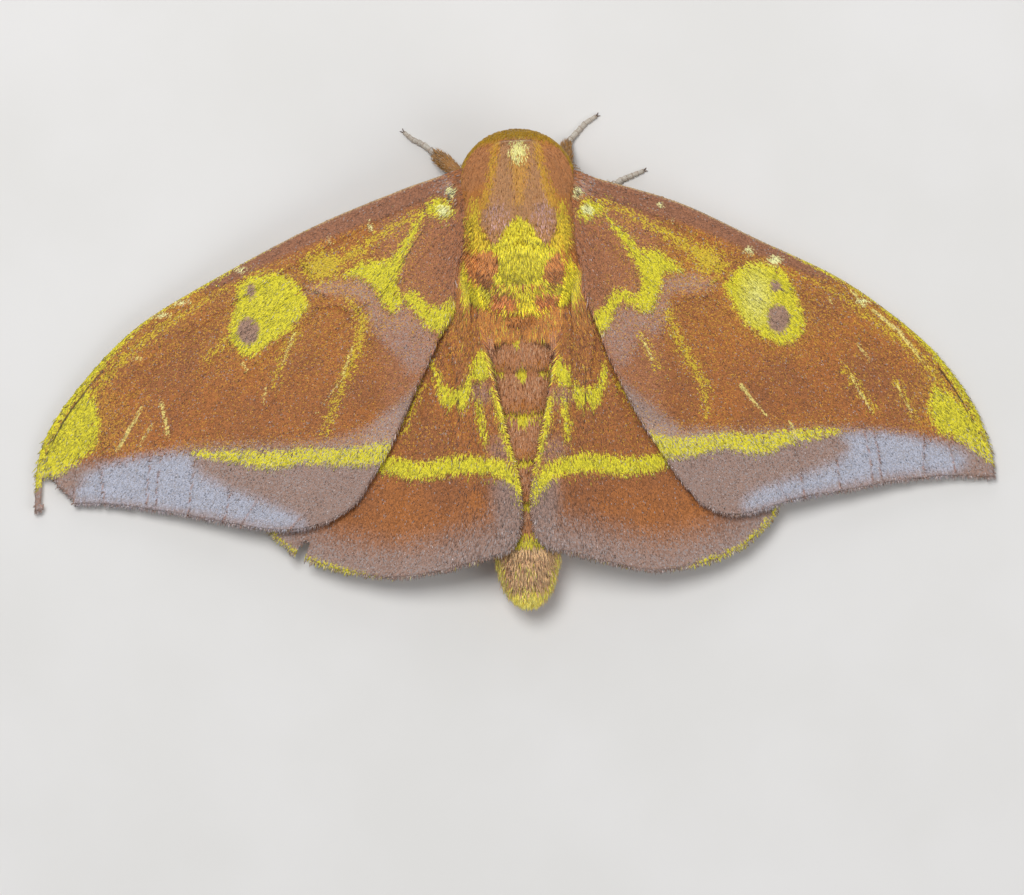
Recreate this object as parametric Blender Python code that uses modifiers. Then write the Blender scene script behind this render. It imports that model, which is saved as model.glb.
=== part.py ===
"""A large silk moth at rest on a flat surface, life size, wings spread like a shallow tent.

Metres, +Z up. The head points to +Y and the moth's right wings to +X. Its feet stand on Z = 0,
and the origin is under the middle of the whole outline.
"""

import math

import bmesh
import bpy
from mathutils import Vector

MM = 0.001
MERGE_DISTANCE = 1e-7  # in metres
SHARP_ANGLE = math.radians(45)
CURVE_STEPS = 24

# Driving sizes, in millimetres. The body's own frame has X = 0 on its long axis.
RIGHT_REACH = 56.1  # from the body's axis to the right wing's tip
LEFT_REACH = 58.8  # to the tip of the left wing, which is spread a little further
GAP = 0.3  # clear space between neighbouring pieces

WING_THICKNESS = 0.5
VEIN_HEIGHT = 0.26
VEIN_HALF_WIDTH = 0.5
VEIN_FADE = 0.15  # share of the wing's length over which a vein rises
VEIN_SPACING_SHARE = 0.3  # the widest half vein, as a share of the space between two veins
VEIN_EDGE_SHARE = 0.8  # and as a share of the space between the outer vein and the wing's edge
ROOT_FADE = 1 / 6  # share of the wing's length over which veins and sags rise from its root
EDGE_POINTS = 120
MEMBRANE_SAG = 0.08
HINDWING_TO_FOREWING = 1.3  # height of the forewing above the hindwing where they overlap

# The tent that the wings form: its height over the axis and how it falls away to the tips.
TENT_EDGE = -0.6
TENT_TOP = 11.6
TENT_FALL = 26.0
CREST_ROUND = 4.5
TAIL_DROP = 0.0055
TIP_LOWERING = 1.0  # how much the forewing sinks to its tip below the tent, and where it starts
LOWERING_START = 30.0
LOWERING_SPAN = 27.0
COSTA_DROOP = 0.7  # how much the front edge turns down, over which share of the chord, and from where
DROOP_WIDTH = 0.12
DROOP_START = 8.0
DROOP_SPAN = 12.0

# Outlines of the wings seen from above, as the few points that smooth curves pass through.
# x counts outwards from the body's axis on either side.
RIGHT_TIP = (RIGHT_REACH, -19.0)
RIGHT_TORNUS = (20.7, -21.0)
LEFT_TIP = (LEFT_REACH, -20.0)
LEFT_TORNUS = (23.3, -21.9)
FOREWING = {
    "right": {
        "costa": [(5.0, 19.0), (7.0, 18.5), (9.3, 17.6), (19.2, 14.5), (28.6, 9.9), (38.0, 5.2), (45.0, 0.1),
                  (49.7, -4.4), (53.6, -10.1), (55.6, -15.6), RIGHT_TIP],
        "margin": [RIGHT_TIP, (50.7, -18.7), (44.4, -19.1), (38.5, -20.0), (32.6, -20.8), (27.7, -22.1),
                   (24.1, -22.5), RIGHT_TORNUS],
        "inner": [(5.4, 11.2), (7.3, 7.8), (7.7, 4.5), (9.1, 0.4), (10.5, -3.8), (13.8, -10.8), (16.0, -14.4),
                  (18.3, -18.1), RIGHT_TORNUS],
    },
    "left": {
        "costa": [(5.0, 19.5), (7.4, 18.9), (9.5, 18.2), (14.0, 16.8), (23.5, 13.3), (33.3, 8.7), (42.9, 3.6),
                  (47.8, 0.1), (52.6, -4.8), (56.3, -9.6), (58.2, -14.1), LEFT_TIP],
        "margin": [LEFT_TIP, (53.9, -19.2), (48.2, -19.5), (41.2, -20.7), (36.5, -21.7), (30.5, -22.8),
                   (27.0, -22.8), LEFT_TORNUS],
        "inner": [(5.4, 11.2), (7.3, 7.8), (8.2, 2.6), (10.0, -1.0), (13.4, -8.0), (16.0, -13.4), (18.3, -17.1),
                  (20.3, -20.0), LEFT_TORNUS],
    },
    "veins": (0.045, 0.17, 0.30, 0.43, 0.56, 0.70, 0.86),
    "vein_starts": (0.0, 0.0, 0.38, 0.40, 0.36, 0.25, 0.0),
    "rows": 17,
}
HINDWING = {
    "right": {
        "costa": [(4.9, 10.6), (11.5, 8.0), (18.0, 2.6), (24.5, -5.0), (29.2, -12.5), (30.6, -17.6)],
        "margin": [(30.6, -17.6), (30.0, -21.6), (28.3, -24.0), (25.2, -26.6), (20.4, -28.3), (15.1, -28.9),
                   (9.7, -27.8), (5.6, -26.5), (2.3, -25.8)],
        "inner": [(4.4, 4.8), (5.0, 1.0), (4.4, -3.0), (3.1, -8.5), (2.0, -13.0), (1.05, -17.2), (0.7, -21.0),
                  (1.1, -24.2), (2.3, -25.8)],
    },
    "left": {
        "costa": [(4.9, 10.6), (11.5, 8.0), (18.5, 2.6), (25.5, -5.0), (30.6, -12.5), (32.2, -18.0)],
        "margin": [(32.2, -18.0), (31.3, -22.0), (28.2, -25.4), (25.9, -26.6), (22.3, -27.9), (16.4, -28.9),
                   (10.5, -28.3), (6.9, -27.4), (2.3, -26.1)],
        "inner": [(4.4, 4.8), (5.0, 1.0), (4.4, -3.0), (3.1, -8.5), (2.0, -13.0), (1.05, -17.2), (0.7, -21.0),
                  (1.1, -24.5), (2.3, -26.1)],
    },
    "veins": (0.10, 0.26, 0.42, 0.58, 0.74, 0.89),
    "vein_starts": (0.0, 0.32, 0.36, 0.30, 0.0, 0.0),
    "rows": 13,
}
# Worn places of the left wings: a strip left hanging at the torn tip, and a bite in the hind margin.
TORN_TIP = [(57.9, -21.6), (57.6, -16.0), (56.0, -16.7), (55.6, -17.5), (54.7, -18.2), (54.1, -18.8),
            (53.2, -21.6)]
MARGIN_BITE = [(27.6, -25.9), (26.5, -24.2), (25.9, -24.5), (26.2, -25.6), (27.0, -27.4)]
CUTTER_BOTTOM = -2.0
CUTTER_HEIGHT = 20.0

# Body forms as rows of (y, half width, lowest z, highest z), front to back.
THORAX = [(22.5, 1.5, 9.9, 11.9), (21.7, 3.2, 8.2, 12.8), (20.2, 4.8, 6.2, 13.7), (17.5, 6.0, 4.4, 14.3),
          (14.0, 6.6, 3.5, 14.5), (10.0, 6.7, 3.2, 13.9), (6.6, 6.6, 3.4, 12.5), (4.2, 6.0, 3.9, 11.3),
          (2.2, 4.8, 4.6, 9.9)]
THORAX_WAIST = 0.52  # height of the widest level, as a share of the section's height
THORAX_RINGS = 30
THORAX_SIDES = 36
ABDOMEN = [(1.9, 4.2, 3.4, 8.4), (0.6, 4.6, 2.4, 8.5), (-3.0, 4.9, 1.3, 8.5), (-8.0, 5.0, 1.0, 8.3),
           (-14.0, 4.8, 0.9, 8.0), (-20.0, 4.3, 0.9, 7.6), (-24.5, 3.9, 1.0, 7.2), (-27.5, 3.5, 1.2, 6.8),
           (-30.0, 2.8, 1.6, 6.2), (-31.7, 1.9, 2.3, 5.5), (-32.6, 1.0, 3.0, 4.8)]
ABDOMEN_WAIST = 0.48
ABDOMEN_SIDES = 22
BELLY_NARROWING = 0.28  # how much narrower the lowest part of a section is than an ellipse
BELLY_POWER = 1.4

# Lobes raised on the thorax, as (middle y, half length, middle angle, half angle, height): the two
# tegulae over the wing roots, the long shield between them with its two hind lobes, and the small
# shield behind it. The angle turns from straight up towards either side.
THORAX_LOBES = [(17.0, 5.2, 1.04, 0.62, 0.9), (16.4, 5.8, 0.0, 0.40, 0.9), (12.6, 3.2, 0.34, 0.36, 1.0),
                (8.2, 2.1, 0.0, 0.46, 0.8), (5.2, 3.0, 0.86, 0.60, 0.6)]
LOBE_STEEPNESS = 1.9

# Where one ring of the abdomen laps over the next, and how far it stands out there.
SEGMENT_ENDS = (-0.6, -4.5, -9.5, -15.1, -20.2, -25.0)
SEGMENT_STEP = 0.3
SEGMENT_EDGE = 0.35
STATIONS_PER_SEGMENT = 3
TAIL_STATIONS = 8

HEAD_CENTRE = (0.0, 19.9, 5.7)
HEAD_RADII = (2.5, 2.5, 2.4)
HEAD_MESH = (18, 12)  # segments and rings
EYE_CENTRE = (2.1, 20.6, 5.2)
EYE_RADIUS = 1.5
EYE_MESH = (14, 10)
COLLAR_CENTRE = (0.0, 17.4, 9.1)
COLLAR_RADII = (7.0, 6.4, 3.3)
COLLAR_MESH = (26, 14)

# Each leg's joints as (x, y, z) on its own side, from the hip to the claw.
LEGS = {
    "leg_fore_left": [(-1.9, 16.8, 4.9), (-2.7, 17.6, 3.3), (-6.7, 18.7, 4.3), (-9.6, 21.4, 0.75),
                      (-11.2, 22.7, 0.24), (-12.4, 23.3, 0.22), (-13.4, 24.2, 0.22)],
    "leg_fore_right": [(1.9, 16.8, 4.9), (2.7, 17.6, 3.3), (5.6, 17.9, 4.3), (6.0, 22.2, 0.75),
                       (7.4, 23.7, 0.24), (8.4, 24.7, 0.22), (9.7, 25.5, 0.22)],
    "leg_mid_left": [(-2.4, 12.6, 4.1), (-3.2, 12.9, 2.8), (-7.6, 12.6, 4.6), (-10.4, 13.4, 0.75),
                     (-11.8, 13.8, 0.24), (-13.2, 14.1, 0.22), (-14.6, 14.2, 0.22)],
    "leg_mid_right": [(2.4, 12.6, 4.1), (3.2, 12.9, 2.8), (7.8, 13.9, 4.6), (11.1, 17.0, 0.75),
                      (12.6, 17.8, 0.24), (13.9, 18.3, 0.22), (15.2, 18.8, 0.22)],
    "leg_hind_left": [(-2.4, 8.4, 4.0), (-3.4, 7.6, 2.8), (-7.3, 3.6, 4.2), (-8.5, -4.6, 0.75),
                      (-8.9, -6.4, 0.24), (-9.3, -8.2, 0.22), (-9.9, -10.0, 0.22)],
    "leg_hind_right": [(2.4, 8.4, 4.0), (3.4, 7.6, 2.8), (7.3, 3.6, 4.2), (8.5, -4.6, 0.75),
                       (8.9, -6.4, 0.24), (9.3, -8.2, 0.22), (9.9, -10.0, 0.22)],
}
LEG_RADII = (1.0, 0.7, 0.55, 0.42, 0.33, 0.31, 0.24)
LEG_BULGES = (0.0, 0.25, 0.42, 0.0, 0.04, 0.03)
POINTS_PER_BONE = 3
TUBE_ROUNDNESS = 1  # bevel steps of legs, antennae and palps

ANTENNA_ROUTE = [(1.0, 21.9, 6.3), (2.2, 22.5, 6.4), (4.0, 21.4, 6.4), (5.6, 19.3, 6.2), (7.6, 16.8, 6.1),
                 (10.8, 14.2, 6.0), (15.2, 11.8, 5.7)]
ANTENNA_RADII = (0.40, 0.34, 0.32, 0.31, 0.29, 0.26, 0.18)
RAY_PAIRS = 10
FIRST_RAY = 0.27  # share of the antenna's length where the comb starts
RAY_PITCH = 0.055
RAY_LENGTH = 1.9
RAY_RADII = (0.24, 0.09)
RAY_LEAN = math.radians(52)  # from the shaft's direction
RAY_SIDES = 4
COMB_SWELL = 0.7  # below 1 gives rays of nearly even length with short ones only at the ends
COMB_LEAD = 2.4  # missing rays before the first one and after the last one in that swell
COMB_TAIL = 0.4
PALP_ROUTE = [(0.75, 21.4, 4.3), (0.8, 22.2, 4.1), (0.75, 22.9, 4.5), (0.7, 23.2, 5.1)]
PALP_RADII = (0.5, 0.55, 0.45, 0.22)
FEELER_POINTS = 12

COLOURS = {
    "wing": ((0.45, 0.17, 0.07), 0.75),
    "coat": ((0.55, 0.25, 0.08), 0.9),
    "yellow_coat": ((0.72, 0.60, 0.05), 0.9),
    "eye": ((0.03, 0.02, 0.02), 0.2),
    "leg": ((0.60, 0.55, 0.48), 0.7),
    "antenna": ((0.42, 0.26, 0.10), 0.7),
}


def clear_scene():
    for obj in list(bpy.data.objects):
        bpy.data.objects.remove(obj)


def make_collection(name):
    collection = bpy.data.collections.new(name)
    bpy.context.scene.collection.children.link(collection)
    return collection


def make_materials():
    made = {}
    for name, (colour, roughness) in COLOURS.items():
        made[name] = bpy.data.materials.new(name)
        made[name].use_nodes = True
        shader = made[name].node_tree.nodes["Principled BSDF"]
        shader.inputs["Base Color"].default_value = (*colour, 1.0)
        shader.inputs["Roughness"].default_value = roughness
        shader.inputs["Metallic"].default_value = 0.0
    return made


def smooth_curve(points, count):
    """count points, evenly spaced along a smooth curve through the given ones."""
    knots = [Vector(p) for p in points]
    knots = [2 * knots[0] - knots[1], *knots, 2 * knots[-1] - knots[-2]]
    fine = []
    for i in range(1, len(knots) - 2):
        a, b, c, d = knots[i - 1:i + 3]
        for k in range(CURVE_STEPS):
            t = k / CURVE_STEPS
            fine.append(0.5 * ((2 * b) + (c - a) * t + (2 * a - 5 * b + 4 * c - d) * t * t
                               + (3 * b - a - 3 * c + d) * t ** 3))
    fine.append(knots[-2])
    run = [0.0]
    for p, q in zip(fine, fine[1:]):
        run.append(run[-1] + (q - p).length)
    out = []
    j = 0
    for i in range(count):
        wanted = run[-1] * i / (count - 1)
        while j < len(run) - 2 and run[j + 1] < wanted:
            j += 1
        share = (wanted - run[j]) / (run[j + 1] - run[j])
        out.append(fine[j].lerp(fine[j + 1], min(1.0, max(0.0, share))))
    return out


def row_slope(rows, i, column):
    """How fast a column of a body form's rows changes with y at row i."""
    before, after = rows[max(0, i - 1)], rows[min(len(rows) - 1, i + 1)]
    return (after[column] - before[column]) / (after[0] - before[0])


def between(rows, y):
    """The half width, lowest and highest z of a body form at y, on smooth curves through its rows."""
    i = 0
    while i < len(rows) - 2 and y < rows[i + 1][0]:
        i += 1
    length = rows[i + 1][0] - rows[i][0]
    t = min(1.0, max(0.0, (y - rows[i][0]) / length))
    values = []
    for column in (1, 2, 3):
        a, b = rows[i][column], rows[i + 1][column]
        u, v = row_slope(rows, i, column) * length, row_slope(rows, i + 1, column) * length
        values.append(a + u * t + (3 * (b - a) - 2 * u - v) * t ** 2 + (2 * (a - b) + u + v) * t ** 3)
    return values


def tent_height(x, y):
    """Height of the wings' shared tent over a point, in the body frame."""
    reach = math.hypot(x, CREST_ROUND)
    height = TENT_EDGE + (TENT_TOP - TENT_EDGE) * math.exp(-reach / TENT_FALL)
    return height * (1 - TAIL_DROP * max(0.0, -y))


def new_object(name, mesh, collection, material=None):
    obj = bpy.data.objects.new(name, mesh)
    collection.objects.link(obj)
    if material:
        mesh.materials.append(material)
    return obj


def finish_mesh(bm, name):
    """The mesh in metres, smooth but for its sharp edges."""
    bmesh.ops.scale(bm, vec=(MM, MM, MM), verts=bm.verts)
    mesh = bpy.data.meshes.new(name)
    bm.to_mesh(mesh)
    bm.free()
    mesh.shade_smooth()
    mesh.set_sharp_from_angle(angle=SHARP_ANGLE)
    return mesh


def largest_shell(mesh):
    """Leaves only the largest connected surface of a mesh."""
    bm = bmesh.new()
    bm.from_mesh(mesh)
    bmesh.ops.remove_doubles(bm, verts=bm.verts, dist=MERGE_DISTANCE)
    left = set(bm.faces)
    shells = []
    while left:
        waiting = [left.pop()]
        shell = set(waiting)
        while waiting:
            for edge in waiting.pop().edges:
                for face in edge.link_faces:
                    if face in left:
                        left.discard(face)
                        shell.add(face)
                        waiting.append(face)
        shells.append(shell)
    keep = max(shells, key=lambda shell: sum(face.calc_area() for face in shell))
    bmesh.ops.delete(bm, geom=[f for f in bm.faces if f not in keep], context="FACES")
    bm.to_mesh(mesh)
    bm.free()


def bake(obj):
    """Applies an object's modifiers and keeps its largest closed surface."""
    graph = bpy.context.evaluated_depsgraph_get()
    mesh = bpy.data.meshes.new_from_object(obj.evaluated_get(graph))
    largest_shell(mesh)
    obj.modifiers.clear()
    obj.data = mesh


def cut_with(obj, *cutters, solver="EXACT"):
    """Cuts the cutters' shapes from an object."""
    for cutter in cutters:
        modifier = obj.modifiers.new("cut", "BOOLEAN")
        modifier.operation = "DIFFERENCE"
        modifier.solver = solver
        modifier.object = cutter
    bake(obj)


def hide(obj):
    obj.hide_render = True
    obj.display_type = "WIRE"
    return obj


def prism(name, outline, mirror, collection):
    """A tall block with the given outline, in millimetres, for cutting a wing."""
    bm = bmesh.new()
    low = [bm.verts.new((x * mirror, y, CUTTER_BOTTOM)) for x, y in outline]
    face = bm.faces.new(low)
    made = bmesh.ops.extrude_face_region(bm, geom=[face])
    top = [v for v in made["geom"] if isinstance(v, bmesh.types.BMVert)]
    bmesh.ops.translate(bm, vec=(0, 0, CUTTER_HEIGHT), verts=top)
    bmesh.ops.recalc_face_normals(bm, faces=bm.faces)
    return hide(new_object(name, finish_mesh(bm, name), collection))


def bump(value, middle, half):
    """1 at the middle, falling to 0 at half a width either side of it."""
    return max(0.0, 1 - ((value - middle) / half) ** 2)


def thorax_relief(y, angle):
    """How far the lobes over the wing roots and the shields between them stand out."""
    from_top = min(angle, 2 * math.pi - angle)
    raised = 0.0
    for middle, half, lobe_angle, half_angle, height in THORAX_LOBES:
        share = min(1.0, LOBE_STEEPNESS * bump(y, middle, half) * bump(from_top, lobe_angle, half_angle))
        raised = max(raised, height * share)
    return raised


def abdomen_relief(y, angle):
    """How far a ring of the abdomen stands out: each widens to its hind edge."""
    fronts = (ABDOMEN[0][0], *SEGMENT_ENDS[:-1])
    for front, end in zip(fronts, SEGMENT_ENDS):
        if end <= y < front:
            return SEGMENT_STEP * (front - y) / (front - end)
    return 0.0


def abdomen_stations():
    """Where the abdomen's sections stand: evenly in each ring, and close together at its hind edge."""
    stations = []
    front = ABDOMEN[0][0]
    for end in SEGMENT_ENDS:
        span = (front - end) / STATIONS_PER_SEGMENT
        stations += [front - span * k for k in range(STATIONS_PER_SEGMENT)] + [end]
        front = end - SEGMENT_EDGE
    span = (front - ABDOMEN[-1][0]) / TAIL_STATIONS
    return stations + [front - span * k for k in range(TAIL_STATIONS + 1)]


def even_stations(rows, count):
    first, last = rows[0][0], rows[-1][0]
    return [first + (last - first) * i / (count - 1) for i in range(count)]


def body_section(half_width, low, high, waist_share, sides, grow, relief):
    """One closed ring of a body form, widest at its waist, with each corner moved out by the relief."""
    waist = low + (high - low) * waist_share
    ring = []
    for i in range(sides):
        angle = 2 * math.pi * i / sides
        up, out = math.cos(angle), math.sin(angle)
        height = high - waist if up >= 0 else waist - low
        width = half_width * (1 - BELLY_NARROWING * max(0.0, -up) ** BELLY_POWER)
        more = grow + relief(angle)
        ring.append((out * (width + more), waist + up * (height + more)))
    return ring


def body_form(name, rows, waist_share, stations, sides, collection, relief, grow=0.0):
    """A body part lofted through its sections from front to back, with flat ends."""
    bm = bmesh.new()
    loops = []
    for i, y in enumerate(stations):
        placed = y + (grow if i == 0 else -grow if i == len(stations) - 1 else 0.0)
        ring = body_section(*between(rows, y), waist_share, sides, grow, lambda angle: relief(y, angle))
        loops.append([bm.verts.new((x, placed, z)) for x, z in ring])
    for a, b in zip(loops, loops[1:]):
        for k in range(sides):
            n = (k + 1) % sides
            bm.faces.new((a[k], a[n], b[n], b[k]))
    bm.faces.new(loops[0])
    bm.faces.new(loops[-1])
    bmesh.ops.recalc_face_normals(bm, faces=bm.faces)
    return new_object(name, finish_mesh(bm, name), collection)


def ball(name, centre, radii, mesh_size, collection, grow=0.0):
    bm = bmesh.new()
    bmesh.ops.create_uvsphere(bm, u_segments=mesh_size[0], v_segments=mesh_size[1], radius=1.0)
    bmesh.ops.scale(bm, vec=[r + grow for r in radii], verts=bm.verts)
    bmesh.ops.translate(bm, vec=centre, verts=bm.verts)
    return new_object(name, finish_mesh(bm, name), collection)


def wing_edges(wing, side):
    """The wing's four edges in the body frame, from the root to the margin and from costa to inner margin."""
    mirror = 1 if side == "right" else -1
    edges = {}
    for edge in ("costa", "margin", "inner"):
        edges[edge] = smooth_curve([(x * mirror, y, 0) for x, y in wing[side][edge]], EDGE_POINTS)
    edges["root"] = [edges["costa"][0], edges["inner"][0]]
    return edges


def wing_point(edges, s, t):
    """A point of the wing by its share s from costa to inner margin and t from root to margin."""
    def read(curve, share):
        at = share * (len(curve) - 1)
        i = min(int(at), len(curve) - 2)
        return curve[i].lerp(curve[i + 1], at - i)

    costa, inner = read(edges["costa"], t), read(edges["inner"], t)
    root, margin = read(edges["root"], s), read(edges["margin"], s)
    corners = ((1 - s) * (1 - t) * edges["root"][0] + s * (1 - t) * edges["root"][-1]
               + (1 - s) * t * edges["margin"][0] + s * t * edges["margin"][-1])
    return (1 - s) * costa + s * inner + (1 - t) * root + t * margin - corners


def wing_columns(wing, t, chord):
    """The columns of the wing's grid at t, as (s, height share) with three on each vein."""
    veins = wing["veins"]
    spacing = min(b - a for a, b in zip(veins, veins[1:]))
    half = min(VEIN_HALF_WIDTH / chord, VEIN_SPACING_SHARE * spacing, VEIN_EDGE_SHARE * veins[0],
               VEIN_EDGE_SHARE * (1 - veins[-1]))
    columns = [(0.0, 0.0)]
    for i, vein in enumerate(veins):
        start = wing["vein_starts"][i]
        height = 1.0 if start == 0.0 else max(0.0, min(1.0, (t - start) / VEIN_FADE))
        if i > 0:
            columns.append(((veins[i - 1] + vein) / 2, -1.0))
        columns += [(vein - half, 0.0), (vein, height), (vein + half, 0.0)]
    columns.append(((veins[-1] + 1) / 2, 0.0))
    columns.append((1.0, 0.0))
    return columns


def ramp(value, start, span):
    """0 up to the start, then rising to 1 over the span."""
    return min(1.0, max(0.0, (value - start) / span))


def wing_height(name, x, y, s):
    """Height of a wing's middle surface."""
    z = tent_height(x, y)
    if name.startswith("forewing"):
        lowered = ramp(abs(x), LOWERING_START, LOWERING_SPAN)
        drooped = ramp(abs(x), DROOP_START, DROOP_SPAN) * (1 - lowered)
        z += HINDWING_TO_FOREWING - TIP_LOWERING * lowered
        z -= COSTA_DROOP * max(0.0, 1 - s / DROOP_WIDTH) ** 2 * drooped
    return z


def wing_sheet(name, wing, side, collection, material):
    """One wing: an open grid, fanned from root to margin, raised along its veins, then thickened."""
    edges = wing_edges(wing, side)
    rows = wing["rows"]
    bm = bmesh.new()
    grid = []
    for j in range(rows):
        t = j / (rows - 1)
        chord = (wing_point(edges, 0.0, t) - wing_point(edges, 1.0, t)).length
        line = []
        for s, share in wing_columns(wing, t, chord):
            p = wing_point(edges, s, t)
            lift = (VEIN_HEIGHT if share > 0 else MEMBRANE_SAG) * share * ramp(t, 0.0, ROOT_FADE)
            line.append(bm.verts.new((p.x, p.y, wing_height(name, p.x, p.y, s) + lift)))
        grid.append(line)
    for a, b in zip(grid, grid[1:]):
        for i in range(len(a) - 1):
            corners = (a[i], a[i + 1], b[i + 1], b[i])
            bm.faces.new(corners if side == "left" else corners[::-1])
    bmesh.ops.triangulate(bm, faces=bm.faces, quad_method="FIXED")
    for face in bm.faces:
        face.normal_update()
    if sum(f.normal.z for f in bm.faces) < 0:
        bmesh.ops.reverse_faces(bm, faces=bm.faces)
    obj = new_object(name, finish_mesh(bm, name), collection, material)
    shell = obj.modifiers.new("thickness", "SOLIDIFY")
    shell.thickness = WING_THICKNESS * MM
    shell.offset = 0.0
    bake(obj)
    return obj


def tube(name, points, radii, collection, material):
    """A closed tube along a route, with a radius at each point, as a mesh."""
    curve = bpy.data.curves.new(name, "CURVE")
    curve.dimensions = "3D"
    curve.bevel_depth = MM
    curve.bevel_resolution = TUBE_ROUNDNESS
    curve.use_fill_caps = True
    spline = curve.splines.new("POLY")
    spline.points.add(len(points) - 1)
    for point, place, radius in zip(spline.points, points, radii):
        point.co = (*(Vector(place) * MM), 1.0)
        point.radius = radius
    drawn = new_object(name + "_route", curve, collection)
    graph = bpy.context.evaluated_depsgraph_get()
    mesh = bpy.data.meshes.new_from_object(drawn.evaluated_get(graph))
    mesh.name = name
    bpy.data.objects.remove(drawn)
    bm = bmesh.new()
    bm.from_mesh(mesh)
    bmesh.ops.remove_doubles(bm, verts=bm.verts, dist=MERGE_DISTANCE)
    bmesh.ops.recalc_face_normals(bm, faces=bm.faces)
    bm.to_mesh(mesh)
    bm.free()
    return new_object(name, mesh, collection, material)


def flatten_soles(obj):
    """Cuts away what reaches below the floor, so that the foot stands on small flats."""
    bm = bmesh.new()
    bm.from_mesh(obj.data)
    everything = bm.verts[:] + bm.edges[:] + bm.faces[:]
    bmesh.ops.bisect_plane(bm, geom=everything, plane_co=(0, 0, 0), plane_no=(0, 0, 1), clear_inner=True)
    bmesh.ops.holes_fill(bm, edges=[e for e in bm.edges if e.is_boundary])
    bmesh.ops.triangulate(bm, faces=[f for f in bm.faces if len(f.verts) > 4])
    bmesh.ops.recalc_face_normals(bm, faces=bm.faces)
    bm.to_mesh(obj.data)
    bm.free()


def leg(name, joints, collection, material):
    """A leg from hip to claw: thicker in the middle of thigh and shin, then a thin five-part foot."""
    points, radii = [], []
    for i, (a, b) in enumerate(zip(joints, joints[1:])):
        for k in range(POINTS_PER_BONE):
            t = k / POINTS_PER_BONE
            points.append(Vector(a).lerp(Vector(b), t))
            bulge = LEG_BULGES[i] * math.sin(math.pi * t)
            radii.append(LEG_RADII[i] + (LEG_RADII[i + 1] - LEG_RADII[i]) * t + bulge)
    points.append(Vector(joints[-1]))
    radii.append(LEG_RADII[-1])
    obj = tube(name, points, radii, collection, material)
    flatten_soles(obj)
    return obj


def build_body(moth, cutters, materials):
    """The thorax, abdomen, collar, head and eyes. Returns the shapes that clear space for them."""
    stations = even_stations(THORAX, THORAX_RINGS)
    shape = (THORAX, THORAX_WAIST, stations, THORAX_SIDES)
    thorax = body_form("thorax", *shape, moth, thorax_relief)
    thorax.data.materials.append(materials["coat"])
    thorax_space = hide(body_form("thorax_space", *shape, cutters, thorax_relief, GAP))
    abdomen = body_form("abdomen", ABDOMEN, ABDOMEN_WAIST, abdomen_stations(), ABDOMEN_SIDES, moth,
                        abdomen_relief)
    abdomen.data.materials.append(materials["coat"])

    collar = ball("collar", COLLAR_CENTRE, COLLAR_RADII, COLLAR_MESH, moth)
    collar.data.materials.append(materials["yellow_coat"])
    cut_with(collar, thorax_space)
    collar_space = hide(ball("collar_space", COLLAR_CENTRE, COLLAR_RADII, COLLAR_MESH, cutters, GAP))

    head = ball("head", HEAD_CENTRE, HEAD_RADII, HEAD_MESH, moth)
    head.data.materials.append(materials["coat"])
    cut_with(head, thorax_space, collar_space)
    head_space = hide(ball("head_space", HEAD_CENTRE, HEAD_RADII, HEAD_MESH, cutters, GAP))
    for side, mirror in (("left", -1), ("right", 1)):
        centre = (EYE_CENTRE[0] * mirror, EYE_CENTRE[1], EYE_CENTRE[2])
        eye = ball(f"eye_{side}", centre, (EYE_RADIUS,) * 3, EYE_MESH, moth)
        eye.data.materials.append(materials["eye"])
        cut_with(eye, head_space, collar_space)
    return thorax_space, collar_space, head_space


def build_wings(moth, cutters, materials, body_spaces):
    torn = prism("torn_tip", TORN_TIP, -1, cutters)
    bite = prism("margin_bite", MARGIN_BITE, -1, cutters)
    worn = {"forewing_left": [torn], "hindwing_left": [bite]}
    for side in ("left", "right"):
        for label, wing in (("forewing", FOREWING), ("hindwing", HINDWING)):
            name = f"{label}_{side}"
            made = wing_sheet(name, wing, side, moth, materials["wing"])
            cut_with(made, *body_spaces, *worn.get(name, []), solver="MANIFOLD")


def ray(root, tip):
    """One tapered ray of an antenna's comb, as a closed mesh."""
    bm = bmesh.new()
    length = (tip - root).length
    bmesh.ops.create_cone(bm, cap_ends=True, segments=RAY_SIDES, radius1=RAY_RADII[0], radius2=RAY_RADII[1],
                          depth=length)
    bmesh.ops.rotate(bm, verts=bm.verts, matrix=(tip - root).to_track_quat("Z", "Y").to_matrix())
    bmesh.ops.translate(bm, vec=(root + tip) / 2, verts=bm.verts)
    return finish_mesh(bm, "ray")


def add_comb(shaft, points):
    """Joins rays to an antenna's shaft, to one side and the other by turns, longest in the middle."""
    pieces = make_collection("rays")
    last = len(points) - 1
    for i in range(2 * RAY_PAIRS):
        at = (FIRST_RAY + i * RAY_PITCH / 2) * last
        k = int(at)
        root = points[k].lerp(points[k + 1], at - k)
        along = (points[k + 1] - points[k]).normalized()
        along_comb = (i + COMB_LEAD) / (2 * RAY_PAIRS + COMB_LEAD + COMB_TAIL)
        length = RAY_LENGTH * math.sin(math.pi * along_comb) ** COMB_SWELL
        turn = RAY_LEAN if i % 2 else -RAY_LEAN
        way = Vector((along.x * math.cos(turn) - along.y * math.sin(turn),
                      along.x * math.sin(turn) + along.y * math.cos(turn), along.z))
        new_object("ray", ray(root, root + way * length), pieces)
    union = shaft.modifiers.new("comb", "BOOLEAN")
    union.operation = "UNION"
    union.solver = "MANIFOLD"
    union.operand_type = "COLLECTION"
    union.collection = pieces
    bake(shaft)
    for obj in list(pieces.objects):
        bpy.data.objects.remove(obj)
    bpy.data.collections.remove(pieces)


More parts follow.
